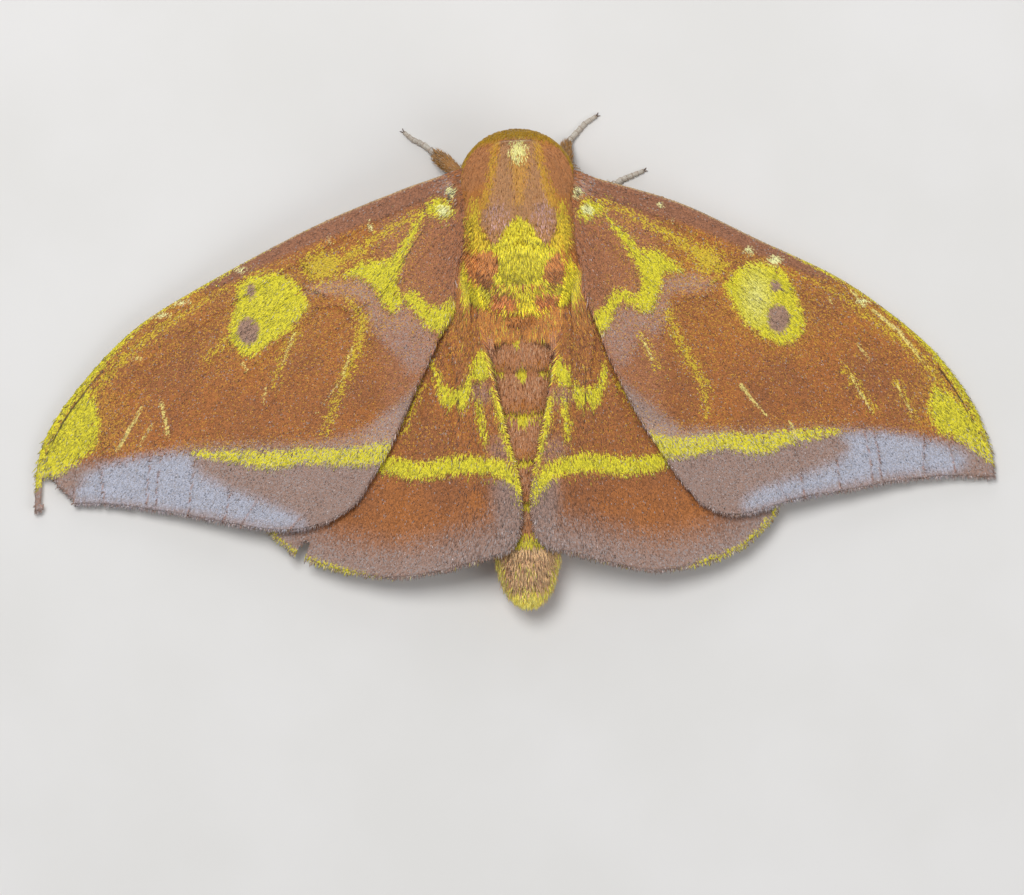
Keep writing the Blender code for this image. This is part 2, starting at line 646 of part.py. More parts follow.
def build_feelers(moth, materials, head_space, collar_space):
    feelers = (("antenna", ANTENNA_ROUTE, ANTENNA_RADII), ("palp", PALP_ROUTE, PALP_RADII))
    for side, mirror in (("left", -1), ("right", 1)):
        for label, route, radii in feelers:
            points = smooth_curve([(x * mirror, y, z) for x, y, z in route], FEELER_POINTS)
            sizes = [p.x for p in smooth_curve([(r, 0, 0) for r in radii], FEELER_POINTS)]
            made = tube(f"{label}_{side}", points, sizes, moth, materials["antenna"])
            if label == "antenna":
                add_comb(made, points)
            cut_with(made, head_space, collar_space, solver="MANIFOLD")


def centre_outline(collection):
    """Moves the whole moth so that the world's origin is under the middle of its outline."""
    corners = [v.co for obj in collection.objects for v in obj.data.vertices]
    frame = bpy.data.objects.new("body_frame", None)
    for axis in (0, 1):
        values = [c[axis] for c in corners]
        frame.location[axis] = -(min(values) + max(values)) / 2
    return frame


def main():
    clear_scene()
    moth = make_collection("moth")
    cutters = make_collection("cutters")
    materials = make_materials()
    thorax_space, collar_space, head_space = build_body(moth, cutters, materials)
    build_wings(moth, cutters, materials, (thorax_space, collar_space))
    for name, joints in LEGS.items():
        made = leg(name, joints, moth, materials["leg"])
        cut_with(made, thorax_space, collar_space)
    build_feelers(moth, materials, head_space, collar_space)
    frame = centre_outline(moth)
    for obj in [*moth.objects, *cutters.objects]:
        obj.parent = frame
    moth.objects.link(frame)


main()
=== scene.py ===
"""Looks of the resting silk moth: scaled wings, a hairy body, feelers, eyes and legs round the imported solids."""

import math

import bmesh
import bpy
import numpy as np
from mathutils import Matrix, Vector
from mathutils.kdtree import KDTree


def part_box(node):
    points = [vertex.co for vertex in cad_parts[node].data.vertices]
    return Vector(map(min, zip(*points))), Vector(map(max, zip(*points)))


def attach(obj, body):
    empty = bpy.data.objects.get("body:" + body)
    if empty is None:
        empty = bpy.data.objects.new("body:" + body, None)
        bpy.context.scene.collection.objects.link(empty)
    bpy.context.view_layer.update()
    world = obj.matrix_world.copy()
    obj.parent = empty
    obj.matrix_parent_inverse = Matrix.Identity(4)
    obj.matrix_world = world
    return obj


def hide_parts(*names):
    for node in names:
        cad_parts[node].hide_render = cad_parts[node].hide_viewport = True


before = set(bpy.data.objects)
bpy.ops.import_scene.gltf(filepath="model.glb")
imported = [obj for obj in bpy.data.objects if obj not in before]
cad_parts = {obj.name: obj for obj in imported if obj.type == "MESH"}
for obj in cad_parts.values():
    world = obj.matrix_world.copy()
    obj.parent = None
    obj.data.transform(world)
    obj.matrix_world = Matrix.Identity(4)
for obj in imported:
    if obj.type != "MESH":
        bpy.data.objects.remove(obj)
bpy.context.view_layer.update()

MM = 0.001
SIDES = (("left", -1), ("right", 1))

# Sizes that part.py has too, in millimetres, in the body's own frame: X = 0 on its axis, +Y to the head.
THORAX_FRONT = 22.5
TENT_EDGE = -0.6
TENT_TOP = 11.6
TENT_FALL = 26.0
CREST_ROUND = 4.5
TAIL_DROP = 0.0055
TIP_LOWERING = 1.0
LOWERING_START = 30.0
LOWERING_SPAN = 27.0
COSTA_DROOP = 0.7
DROOP_WIDTH = 0.12
DROOP_START = 8.0
DROOP_SPAN = 12.0
HINDWING_TO_FOREWING = 1.3
RIGHT_TIP = (56.1, -19.0)
RIGHT_TORNUS = (20.7, -21.0)
LEFT_TIP = (58.8, -20.0)
LEFT_TORNUS = (23.3, -21.9)
FOREWING = {
    "right": {
        "costa": [(5.0, 19.0), (7.0, 18.5), (9.3, 17.6), (19.2, 14.5), (28.6, 9.9), (38.0, 5.2), (45.0, 0.1),
                  (49.7, -4.4), (53.6, -10.1), (55.6, -15.6), RIGHT_TIP],
        "margin": [RIGHT_TIP, (50.7, -18.7), (44.4, -19.1), (38.5, -20.0), (32.6, -20.8), (27.7, -22.1),
                   (24.1, -22.5), RIGHT_TORNUS],
        "inner": [(5.4, 11.2), (7.3, 7.8), (7.7, 4.5), (9.1, 0.4), (10.5, -3.8), (13.8, -10.8), (16.0, -14.4),
                  (18.3, -18.1), RIGHT_TORNUS],
    },
    "left": {
        "costa": [(5.0, 19.5), (7.4, 18.9), (9.5, 18.2), (14.0, 16.8), (23.5, 13.3), (33.3, 8.7), (42.9, 3.6),
                  (47.8, 0.1), (52.6, -4.8), (56.3, -9.6), (58.2, -14.1), LEFT_TIP],
        "margin": [LEFT_TIP, (53.9, -19.2), (48.2, -19.5), (41.2, -20.7), (36.5, -21.7), (30.5, -22.8),
                   (27.0, -22.8), LEFT_TORNUS],
        "inner": [(5.4, 11.2), (7.3, 7.8), (8.2, 2.6), (10.0, -1.0), (13.4, -8.0), (16.0, -13.4), (18.3, -17.1),
                  (20.3, -20.0), LEFT_TORNUS],
    },
}
HINDWING = {
    "right": {
        "costa": [(4.9, 10.6), (11.5, 8.0), (18.0, 2.6), (24.5, -5.0), (29.2, -12.5), (30.6, -17.6)],
        "margin": [(30.6, -17.6), (30.0, -21.6), (28.3, -24.0), (25.2, -26.6), (20.4, -28.3), (15.1, -28.9),
                   (9.7, -27.8), (5.6, -26.5), (2.3, -25.8)],
        "inner": [(4.4, 4.8), (5.0, 1.0), (4.4, -3.0), (3.1, -8.5), (2.0, -13.0), (1.05, -17.2), (0.7, -21.0),
                  (1.1, -24.2), (2.3, -25.8)],
    },
    "left": {
        "costa": [(4.9, 10.6), (11.5, 8.0), (18.5, 2.6), (25.5, -5.0), (30.6, -12.5), (32.2, -18.0)],
        "margin": [(32.2, -18.0), (31.3, -22.0), (28.2, -25.4), (25.9, -26.6), (22.3, -27.9), (16.4, -28.9),
                   (10.5, -28.3), (6.9, -27.4), (2.3, -26.1)],
        "inner": [(4.4, 4.8), (5.0, 1.0), (4.4, -3.0), (3.1, -8.5), (2.0, -13.0), (1.05, -17.2), (0.7, -21.0),
                  (1.1, -24.5), (2.3, -26.1)],
    },
}
TORN_TIP = [(-57.9, -21.6), (-57.6, -16.0), (-56.0, -16.7), (-55.6, -17.5), (-54.7, -18.2), (-54.1, -18.8),
            (-53.2, -21.6)]
MARGIN_BITE = [(-27.6, -25.9), (-26.5, -24.2), (-25.9, -24.5), (-26.2, -25.6), (-27.0, -27.4)]
THORAX = [(22.5, 1.5, 9.9, 11.9), (21.7, 3.2, 8.2, 12.8), (20.2, 4.8, 6.2, 13.7), (17.5, 6.0, 4.4, 14.3),
          (14.0, 6.6, 3.5, 14.5), (10.0, 6.7, 3.2, 13.9), (6.6, 6.6, 3.4, 12.5), (4.2, 6.0, 3.9, 11.3),
          (2.2, 4.8, 4.6, 9.9)]
THORAX_WAIST = 0.52
ABDOMEN = [(1.9, 4.2, 3.4, 8.4), (0.6, 4.6, 2.4, 8.5), (-3.0, 4.9, 1.3, 8.5), (-8.0, 5.0, 1.0, 8.3),
           (-14.0, 4.8, 0.9, 8.0), (-20.0, 4.3, 0.9, 7.6), (-24.5, 3.9, 1.0, 7.2), (-27.5, 3.5, 1.2, 6.8),
           (-30.0, 2.8, 1.6, 6.2), (-31.7, 1.9, 2.3, 5.5), (-32.6, 1.0, 3.0, 4.8)]
ABDOMEN_WAIST = 0.48
BELLY_NARROWING = 0.28
BELLY_POWER = 1.4
THORAX_LOBES = [(17.0, 5.2, 1.04, 0.62, 0.9), (16.4, 5.8, 0.0, 0.40, 0.9), (12.6, 3.2, 0.34, 0.36, 1.0),
                (8.2, 2.1, 0.0, 0.46, 0.8), (5.2, 3.0, 0.86, 0.60, 0.6)]
LOBE_STEEPNESS = 1.9
SEGMENT_ENDS = (-0.6, -4.5, -9.5, -15.1, -20.2, -25.0)
SEGMENT_STEP = 0.3
HEAD_CENTRE = (0.0, 19.9, 5.7)
HEAD_RADII = (2.5, 2.5, 2.4)
EYE_CENTRE = (2.1, 20.6, 5.2)
EYE_RADIUS = 1.5
COLLAR_CENTRE = (0.0, 17.4, 9.1)
COLLAR_RADII = (7.0, 6.4, 3.3)
LEGS = {
    "leg_fore_left": [(-1.9, 16.8, 4.9), (-2.7, 17.6, 3.3), (-6.7, 18.7, 4.3), (-9.6, 21.4, 0.75),
                      (-11.2, 22.7, 0.24), (-12.4, 23.3, 0.22), (-13.4, 24.2, 0.22)],
    "leg_fore_right": [(1.9, 16.8, 4.9), (2.7, 17.6, 3.3), (5.6, 17.9, 4.3), (6.0, 22.2, 0.75),
                       (7.4, 23.7, 0.24), (8.4, 24.7, 0.22), (9.7, 25.5, 0.22)],
    "leg_mid_left": [(-2.4, 12.6, 4.1), (-3.2, 12.9, 2.8), (-7.6, 12.6, 4.6), (-10.4, 13.4, 0.75),
                     (-11.8, 13.8, 0.24), (-13.2, 14.1, 0.22), (-14.6, 14.2, 0.22)],
    "leg_mid_right": [(2.4, 12.6, 4.1), (3.2, 12.9, 2.8), (7.8, 13.9, 4.6), (11.1, 17.0, 0.75),
                      (12.6, 17.8, 0.24), (13.9, 18.3, 0.22), (15.2, 18.8, 0.22)],
    "leg_hind_left": [(-2.4, 8.4, 4.0), (-3.4, 7.6, 2.8), (-7.3, 3.6, 4.2), (-8.5, -4.6, 0.75),
                      (-8.9, -6.4, 0.24), (-9.3, -8.2, 0.22), (-9.9, -10.0, 0.22)],
    "leg_hind_right": [(2.4, 8.4, 4.0), (3.4, 7.6, 2.8), (7.3, 3.6, 4.2), (8.5, -4.6, 0.75),
                       (8.9, -6.4, 0.24), (9.3, -8.2, 0.22), (9.9, -10.0, 0.22)],
}
ANTENNA_ROUTE = [(1.0, 21.9, 6.3), (2.2, 22.5, 6.4), (4.0, 21.4, 6.4), (5.6, 19.3, 6.2), (7.6, 16.8, 6.1),
                 (10.8, 14.2, 6.0), (15.2, 11.8, 5.7)]
PALP_ROUTE = [(0.75, 21.4, 4.3), (0.8, 22.2, 4.1), (0.75, 22.9, 4.5), (0.7, 23.2, 5.1)]
PALP_RADII = (0.5, 0.55, 0.45, 0.22)
RAY_LEAN = math.radians(52)

# Sizes of the finer forms made here.
WING_THICKNESS = 0.3
WING_TOP = 0.25  # how far the membrane's top lies above the middle of the solid wing
GRID_PITCH = 0.36
VEIN_HEIGHT = 0.2
VEIN_WIDTH = 0.26
MEMBRANE_SAG = 0.09
SAG_REACH = 1.3
SKIN_VOXEL = 0.22
SKIN_RELIEF = 0.22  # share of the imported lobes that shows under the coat
COAT_DEPTH = 0.4
ABDOMEN_COAT_DEPTH = 0.15
# Under the long hair between thorax and abdomen.
WAIST_CENTRE = (0.0, 2.0, 6.6)
WAIST_RADII = (4.7, 3.2, 2.7)

# Colours as they look in even light, in 8-bit sRGB.
ORANGE = (168, 103, 50)
BROWN = (150, 93, 53)
WARM = (163, 106, 70)
COSTAL = (148, 100, 74)
RIM = (202, 172, 122)
MAUVE = (150, 121, 108)
LILAC = (166, 124, 104)
PEARL = (168, 172, 186)
FROST = (206, 196, 194)
YELLOW = (214, 202, 44)
GOLD = (206, 180, 44)
STRAW = (226, 208, 120)
CREAM = (228, 226, 156)
OCELLUS = (162, 128, 108)
DARK = (70, 50, 26)
OCHRE = (204, 154, 48)
UNDER = ((206, 162, 66), (180, 120, 76))
PALE_FOOT = (212, 206, 194)

# Veins as routes of (share from costa to inner margin, share from root to margin).
FOREWING_VEINS = [
    [(0.045, 0.0), (0.045, 1.0)],
    [(0.17, 0.0), (0.17, 0.6), (0.18, 0.85), (0.24, 1.0)],
    [(0.17, 0.52), (0.13, 0.7), (0.13, 1.0)],
    [(0.17, 0.33), (0.22, 0.37), (0.30, 0.41), (0.31, 0.75), (0.38, 1.0)],
    [(0.30, 0.62), (0.34, 0.78), (0.41, 1.0)],
    [(0.30, 0.41), (0.36, 0.40), (0.43, 0.43), (0.44, 0.75), (0.52, 1.0)],
    [(0.62, 0.0), (0.60, 0.15), (0.60, 0.26), (0.56, 0.40), (0.57, 0.75), (0.64, 1.0)],
    [(0.60, 0.25), (0.66, 0.30), (0.70, 0.38), (0.70, 1.0)],
    [(0.56, 0.40), (0.49, 0.40), (0.43, 0.43)],
    [(0.86, 0.0), (0.86, 1.0)],
]
HINDWING_VEINS = [
    [(0.10, 0.0), (0.10, 1.0)],
    [(0.26, 0.0), (0.26, 1.0)],
    [(0.26, 0.32), (0.34, 0.35), (0.42, 0.39), (0.42, 1.0)],
    [(0.58, 0.0), (0.58, 1.0)],
    [(0.58, 0.33), (0.50, 0.36), (0.42, 0.39)],
    [(0.58, 0.22), (0.68, 0.30), (0.74, 0.42), (0.74, 1.0)],
    [(0.89, 0.0), (0.89, 1.0)],
]

# Markings of the wings in the body's frame: closed outlines as (x, y), and strokes as (x, y, half width).
YELLOW_BLOBS = [
    # eyespots
    [(-33.3, 6.6), (-31.3, 7.4), (-28.8, 7.6), (-26.9, 6.7), (-25.9, 5.2), (-25.2, 3.6), (-26.4, 2.0), (-27.7, 0.7),
     (-29.9, -0.6), (-32.3, -2.1), (-34.1, -0.9), (-34.7, 0.9), (-34.1, 3.0)],
    [(24.2, 4.6), (25.7, 6.4), (27.7, 7.2), (29.8, 6.9), (31.5, 5.9), (32.5, 3.8), (33.5, 0.5), (33.1, -1.3),
     (31.4, -2.4), (29.5, -1.9), (27.6, -0.8), (25.8, 1.3)],
    # the two points of the zigzag nearer the body
    [(-20.8, 7.1), (-18.7, 8.5), (-16.3, 8.7), (-14.7, 9.2), (-13.4, 11.1), (-11.1, 14.1), (-12.7, 10.6),
     (-14.1, 7.5), (-14.4, 5.5), (-13.9, 3.7), (-15.1, 2.6), (-16.2, 3.7), (-17.4, 5.8), (-18.8, 6.8)],
    [(-14.0, 4.2), (-12.8, 5.0), (-11.8, 4.1), (-10.7, 3.2), (-9.2, 3.1), (-8.0, 4.0), (-8.0, 2.4), (-8.8, 0.8),
     (-9.9, 0.2), (-11.1, 0.8), (-12.1, 2.2)],
    [(10.4, 13.0), (12.7, 11.1), (14.4, 8.9), (16.2, 9.1), (19.3, 6.5), (17.2, 6.4), (16.5, 4.5), (15.3, 1.9),
     (13.8, 2.1), (13.3, 3.3), (14.3, 4.8), (13.8, 7.2)],
    [(7.0, 3.1), (8.3, 1.9), (9.6, 2.2), (10.5, 3.6), (11.7, 4.4), (13.7, 3.5), (14.1, 2.3), (11.7, 2.9),
     (10.2, 0.3), (9.1, -0.4), (7.9, 1.0)],
    # tips
    [(-51.9, -5.4), (-51.0, -7.5), (-50.7, -10.2), (-51.4, -12.4), (-53.6, -14.3), (-56.7, -16.0), (-58.1, -15.6),
     (-57.6, -13.2), (-55.3, -9.2)],
    [(49.0, -7.8), (51.6, -9.5), (53.6, -11.7), (55.3, -14.6), (56.0, -17.1), (54.5, -16.3), (51.9, -14.4),
     (49.6, -13.3), (48.4, -10.9)],
    # wing bases
    [(-10.7, 14.9), (-9.7, 15.7), (-8.4, 15.4), (-7.5, 14.1), (-8.4, 13.4), (-10.0, 13.8)],
    [(6.9, 13.7), (8.0, 15.2), (9.5, 14.7), (10.1, 14.1), (9.0, 13.1), (7.3, 12.9)],
]
# Between the costa and the zigzag.
GOLD_BLOBS = [
    [(-25.6, 8.8), (-23.9, 9.6), (-22.0, 9.4), (-21.2, 8.6), (-22.1, 7.2), (-23.8, 6.7), (-25.2, 7.5)],
    [(19.6, 9.7), (21.5, 9.3), (23.5, 8.3), (24.0, 6.9), (23.0, 6.1), (21.4, 6.8)],
]
YELLOW_STROKES = [
    [(-39.4, -13.4, 0.12), (-37.4, -13.7, 0.36), (-34.4, -14.0, 0.59), (-31.2, -14.5, 0.89), (-28.5, -14.5, 0.89),
     (-26.5, -14.1, 0.77), (-23.2, -14.4, 0.83), (-19.6, -14.4, 1.01), (-16.3, -14.0, 1.07)],
    [(14.9, -13.5, 0.83), (17.0, -14.4, 1.07), (19.4, -14.4, 1.07), (21.8, -14.0, 0.83), (24.2, -13.7, 0.83),
     (26.5, -14.2, 1.01), (28.4, -14.2, 1.01), (30.8, -13.6, 0.71), (34.2, -13.2, 0.48), (37.3, -13.0, 0.18)],
]
HIND_BLOBS = [
    [(-10.7, -3.5), (-9.8, -5.3), (-9.0, -6.4), (-7.7, -6.8), (-6.8, -6.1), (-6.1, -4.7), (-6.1, -7.2), (-6.8, -9.0),
     (-7.7, -9.1), (-7.9, -8.3), (-8.7, -9.0), (-9.7, -8.0)],
    [(5.7, -5.9), (6.5, -6.8), (7.5, -7.2), (8.4, -6.9), (9.2, -6.0), (9.8, -4.1), (9.7, -6.7), (8.8, -8.8),
     (8.0, -9.4), (7.4, -8.6), (6.8, -9.6), (6.0, -8.1)],
    [(-6.1, -4.8), (-5.4, -2.9), (-4.5, -2.5), (-4.0, -3.9), (-4.0, -5.4), (-5.3, -5.8)],
    [(3.6, -2.2), (4.2, -3.4), (5.2, -4.4), (5.7, -6.1), (5.0, -6.8), (3.9, -6.1), (3.4, -4.4)],
]
HIND_STROKES = [
    [(-18.7, -15.0, 0.71), (-15.5, -15.7, 0.95), (-12.5, -16.4, 0.95), (-10.1, -16.0, 0.95), (-7.5, -15.7, 1.07),
     (-4.8, -15.9, 1.01), (-2.8, -16.3, 1.01), (-1.6, -17.3, 0.71), (-0.6, -19.4, 0.24)],
    [(17.4, -15.7, 0.71), (14.8, -16.2, 0.95), (11.8, -16.5, 0.95), (9.5, -16.1, 1.01), (7.1, -15.8, 1.07),
     (4.8, -16.1, 1.01), (3.0, -16.7, 0.95), (1.8, -17.8, 0.71), (0.9, -19.9, 0.24)],
    [(-3.6, -7.0, 0.12), (-2.8, -9.9, 0.36), (-2.1, -13.0, 0.3), (-1.3, -15.9, 0.24), (-0.4, -20.8, 0.12)],
    [(3.2, -7.9, 0.24), (2.7, -10.8, 0.36), (1.9, -13.8, 0.26), (1.3, -16.7, 0.18)],
    [(-5.3, -8.5, 0.3), (-5.1, -10.6, 0.3), (-4.7, -12.9, 0.18)],
    [(4.7, -8.2, 0.24), (5.0, -10.8, 0.3), (5.0, -13.2, 0.18)],
]
FLECK_STROKES = [
    [(-21.2, 8.7, 0.59), (-18.4, 10.3, 0.48), (-14.6, 12.8, 0.36), (-10.7, 14.3, 0.24)],
    [(10.0, 14.8, 0.24), (14.4, 12.7, 0.36), (17.5, 10.9, 0.48), (19.8, 9.4, 0.59)],
    [(-20.3, 3.9, 0.3), (-18.7, 1.9, 0.48), (-19.2, -1.2, 0.48), (-21.0, -4.8, 0.42), (-23.5, -11.2, 0.24)],
    [(17.5, 1.7, 0.36), (18.1, -1.0, 0.48), (19.9, -4.1, 0.42), (21.5, -7.0, 0.36), (21.6, -10.7, 0.12)],
    [(-26.8, 0.5, 0.36), (-28.5, -2.5, 0.18), (-29.6, -6.1, 0.06)],
    [(-34.9, 0.0, 0.3), (-37.6, -2.5, 0.12)],
    [(14.1, -1.1, 0.18), (15.9, -4.7, 0.18)],
    [(38.4, -5.6, 0.18), (41.8, -10.7, 0.18)],
    [(44.4, -7.2, 0.18), (46.6, -11.5, 0.18)],
]
PALE_STREAKS = [
    [(-26.9, 0.4, 0.14), (-27.8, -1.5, 0.14), (-28.5, -3.4, 0.05)],
    [(-30.5, -5.9, 0.12), (-30.8, -7.9, 0.08)],
    [(-33.3, -2.8, 0.12), (-32.6, -4.1, 0.1)],
    [(-43.1, -7.4, 0.2), (-42.4, -11.2, 0.2)],
    [(-45.4, -7.8, 0.14), (-48.5, -12.7, 0.2)],
    [(-44.1, -9.6, 0.12), (-45.9, -12.4, 0.12)],
    [(-46.6, -2.0, 0.12), (-45.3, -2.1, 0.12)],
    [(-24.5, -9.0, 0.02), (-21.3, -4.9, 0.1), (-20.0, -1.4, 0.1)],
    [(14.2, -1.1, 0.12), (15.3, -4.0, 0.1)],
    [(25.9, -7.3, 0.24), (27.4, -9.3, 0.18), (28.9, -11.0, 0.08)],
    [(31.6, -11.7, 0.14), (32.3, -14.0, 0.18)],
    [(39.0, -6.2, 0.08), (39.8, -7.9, 0.12), (41.5, -10.9, 0.08)],
    [(44.6, -7.8, 0.1), (46.4, -11.3, 0.08)],
    [(36.8, 2.9, 0.12), (37.0, 2.1, 0.12)],
    [(39.5, 3.6, 0.16), (40.9, 1.8, 0.2)],
    [(41.9, 1.3, 0.14), (44.9, -1.2, 0.18), (48.4, -5.6, 0.1)],
    [(40.0, -2.7, 0.1), (41.3, -4.5, 0.1)],
]
# Fine dark creases.
FOLDS = [
    [(-10.6, 13.0, 0.05), (-13.6, 8.6, 0.08), (-16.7, 4.0, 0.05)],
    [(-7.85, -5.2, 0.06), (-7.7, -8.0, 0.09), (-7.6, -11.0, 0.04)],
    [(7.45, -4.8, 0.06), (7.35, -8.0, 0.09), (7.0, -11.4, 0.04)],
]
HIND_FLECKS = [
    [(-12.2, -6.1, 0.3), (-14.3, -11.5, 0.3)],
    [(11.3, -6.3, 0.3), (13.8, -10.4, 0.3)],
]
PEARL_BLOBS = [
    [(-53.9, -17.7), (-52.2, -15.7), (-49.1, -14.4), (-44.5, -13.7), (-39.8, -13.7), (-39.0, -15.8), (-35.1, -17.9),
     (-30.4, -19.8), (-26.2, -22.1), (-29.3, -22.8), (-38.8, -20.8), (-50.6, -19.1), (-53.7, -18.8)],
    [(37.8, -13.4), (41.1, -13.2), (45.2, -13.7), (49.3, -14.8), (52.6, -16.4), (51.6, -18.2), (46.3, -18.3),
     (40.7, -19.0), (34.3, -20.3), (29.5, -21.5), (25.6, -21.9), (27.2, -19.9), (32.0, -18.4), (36.4, -16.9),
     (38.6, -15.3)],
]
LILAC_BLOBS = [
    [(-25.5, 5.3), (-23.2, 6.2), (-20.2, 6.6), (-18.1, 6.4), (-16.8, 4.3), (-15.8, 2.3), (-13.4, 3.0), (-12.0, 1.5),
     (-10.2, -0.4), (-11.0, -3.5), (-13.1, -4.6), (-15.4, -1.7), (-17.5, 0.5), (-18.4, 3.5), (-20.8, 4.7)],
    [(9.3, -0.5), (10.9, 1.1), (12.0, 2.5), (14.3, 1.7), (16.3, 3.1), (17.2, 5.5), (20.2, 6.0), (23.2, 4.7),
     (20.1, 4.0), (18.0, 3.9), (17.0, 1.7), (16.2, -0.8), (14.1, -0.4), (12.8, -3.0), (11.6, -4.6), (10.2, -2.7)],
    [(-24.1, -12.9), (-20.7, -11.8), (-17.6, -10.4), (-14.9, -9.3), (-15.0, -11.2), (-16.2, -13.3)],
    [(14.7, -13.0), (13.8, -10.8), (15.5, -11.6), (19.7, -12.4), (24.4, -12.8), (20.8, -13.4)],
]
HIND_LILAC = [
    [(-6.3, -6.2), (-4.6, -6.2), (-3.7, -7.3), (-4.2, -8.4), (-6.0, -8.0)],
    [(3.3, -7.0), (4.6, -6.8), (5.8, -7.6), (5.3, -8.7), (3.5, -8.7)],
    [(-4.4, -13.5), (-2.9, -12.5), (-2.0, -13.8), (-1.8, -15.2), (-3.5, -15.2)],
    [(2.2, -15.3), (2.5, -13.4), (3.9, -12.8), (4.9, -14.2), (3.9, -15.3)],
]
# Spots as (x, y, half width, half length).
OCELLI = [(-32.4, 0.9, 1.31, 1.6), (30.5, 0.6, 1.31, 1.66), (-31.9, 5.6, 0.5, 0.8), (30.3, 4.5, 0.65, 0.65)]
GLOW_SPOTS = [(27.9, 3.3, 1.6, 2.8)]
CREAM_SPOTS = [(-8.7, 14.3, 0.71, 0.59), (8.1, 13.9, 0.59, 0.59), (-7.7, 16.4, 0.48, 0.59), (6.9, 16.0, 0.48, 0.59)]
BASE_DOTS = [(-7.7, 16.3, 0.24, 0.3), (7.0, 15.8, 0.24, 0.3)]
BASE_LILAC = [(-8.7, 17.2, 1.07, 0.95), (8.0, 16.8, 1.07, 1.07)]
COSTA_FLECKS = [(-17.4, 12.8, 0.48, 0.71), (-22.4, 11.3, 0.36, 0.48), (16.9, 14.3, 0.48, 0.59),
                (18.2, 12.3, 0.36, 0.36), (27.2, 8.7, 0.95, 0.59), (30.3, 7.5, 1.19, 0.71), (40.8, 2.4, 1.19, 0.48),
                (-40.5, 4.5, 1.19, 0.48), (-42.9, 3.0, 1.19, 0.48), (-33.2, 8.1, 0.95, 0.48)]

# Markings of the back, in order of painting: colour, spread of the edge, outline.
BACK_MARKS = [
    ("mauve", 0.25, [(-6.5, 20.9), (-4.6, 21.9), (-3.1, 21.5), (-2.8, 20.0), (-3.6, 17.7), (-5.7, 16.8),
                     (-7.2, 17.9), (-7.4, 19.5)]),
    ("mauve", 0.25, [(3.2, 21.4), (4.8, 21.7), (6.3, 20.4), (7.0, 18.6), (6.6, 16.9), (4.8, 16.0), (3.5, 17.5),
                     (2.9, 19.8)]),
    ("scutum", 0.12, [(-1.7, 22.2), (0.2, 22.8), (2.2, 22.0), (2.9, 19.5), (3.8, 16.3), (4.5, 13.7), (4.3, 11.3),
                      (2.6, 10.6), (0.1, 13.3), (-2.4, 10.6), (-4.1, 11.8), (-4.3, 14.1), (-3.3, 16.7),
                      (-2.4, 19.7)]),
    ("ochre", 0.4, [(-0.7, 20.5), (0.3, 21.1), (1.3, 20.4), (1.0, 17.2), (0.1, 14.7), (-0.5, 17.2)]),
    ("yellow", 0.25, [(-6.8, 8.3), (-5.9, 9.0), (-5.0, 7.3), (-3.6, 5.8), (-0.1, 5.7), (2.9, 5.6), (4.3, 6.8),
                      (5.2, 9.4), (6.0, 7.9), (6.4, 5.2), (6.5, 3.4), (4.2, 2.5), (-0.1, 3.0), (-3.7, 2.7),
                      (-5.6, 3.0), (-6.9, 4.9)]),
    ("yellow", 0.15, [(0.1, 13.5), (1.2, 12.6), (2.3, 11.1), (3.4, 10.2), (4.9, 10.1), (4.0, 9.2), (3.0, 8.5),
                      (2.4, 6.8), (3.0, 5.9), (-2.4, 6.0), (-2.7, 7.2), (-2.1, 8.6), (-3.0, 9.6), (-4.6, 10.2),
                      (-2.3, 10.8), (-1.4, 12.4)]),
    ("rust", 0.25, [(-5.9, 9.7), (-3.7, 9.8), (-2.4, 8.4), (-3.1, 7.0), (-4.8, 6.2), (-5.7, 8.0)]),
    ("rust", 0.25, [(2.8, 8.2), (4.4, 9.6), (4.8, 7.9), (4.3, 6.1), (3.0, 7.0)]),
    ("rust", 0.3, [(-3.0, 4.8), (-1.8, 5.2), (-0.3, 4.9), (-0.6, 3.6), (-2.7, 3.4)]),
    ("rust", 0.3, [(1.4, 4.7), (2.6, 5.0), (3.8, 4.5), (3.2, 3.4), (1.5, 3.5)]),
]
# Where single yellow hairs stand among brown ones, the denser the further inside: x, y, half width, half length.
YELLOW_HAIR = [(-5.1, 12.8, 1.3, 3.9), (5.1, 12.6, 1.3, 3.9), (-4.6, 10.8, 1.5, 1.5), (4.6, 10.7, 1.5, 1.5)]
CREAM_HAIR = [(0.2, 21.1, 1.4, 1.9)]
BACK_SEAMS = [[(-2.2, 22.3, 0.3), (-3.2, 17.0, 0.42), (-4.0, 14.9, 0.6)],
              [(2.2, 22.0, 0.3), (3.2, 17.5, 0.42), (4.1, 15.0, 0.6)]]
DORSAL_DOTS = [(-0.6, -1.2, 0.45, 0.6), (-0.1, -5.0, 0.6, 0.9), (-0.1, -10.7, 0.6, 0.7), (0.0, -15.4, 0.7, 0.5),
               (0.1, -20.6, 0.6, 0.6)]


def rgb(colour):
    """Linear red, green and blue of an 8-bit sRGB colour."""
    share = np.array(colour, float) / 255
    return np.where(share <= 0.04045, share / 12.92, ((share + 0.055) / 1.055) ** 2.4)


def step(value, low, high):
    """0 below low, 1 above high, smooth between."""
    t = np.clip((value - low) / (high - low), 0, 1)
    return t * t * (3 - 2 * t)


def unit(vectors):
    return vectors / np.maximum(np.linalg.norm(vectors, axis=-1, keepdims=True), 1e-9)


# ---- places and meshes

low_corner, high_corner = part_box("thorax")
AXIS = np.array([(low_corner[0] + high_corner[0]) / 2, high_corner[1] - THORAX_FRONT * MM, 0.0])


def to_world(points):
    """From millimetres in the body's frame to metres in the model's."""
    return np.asarray(points) * MM + AXIS


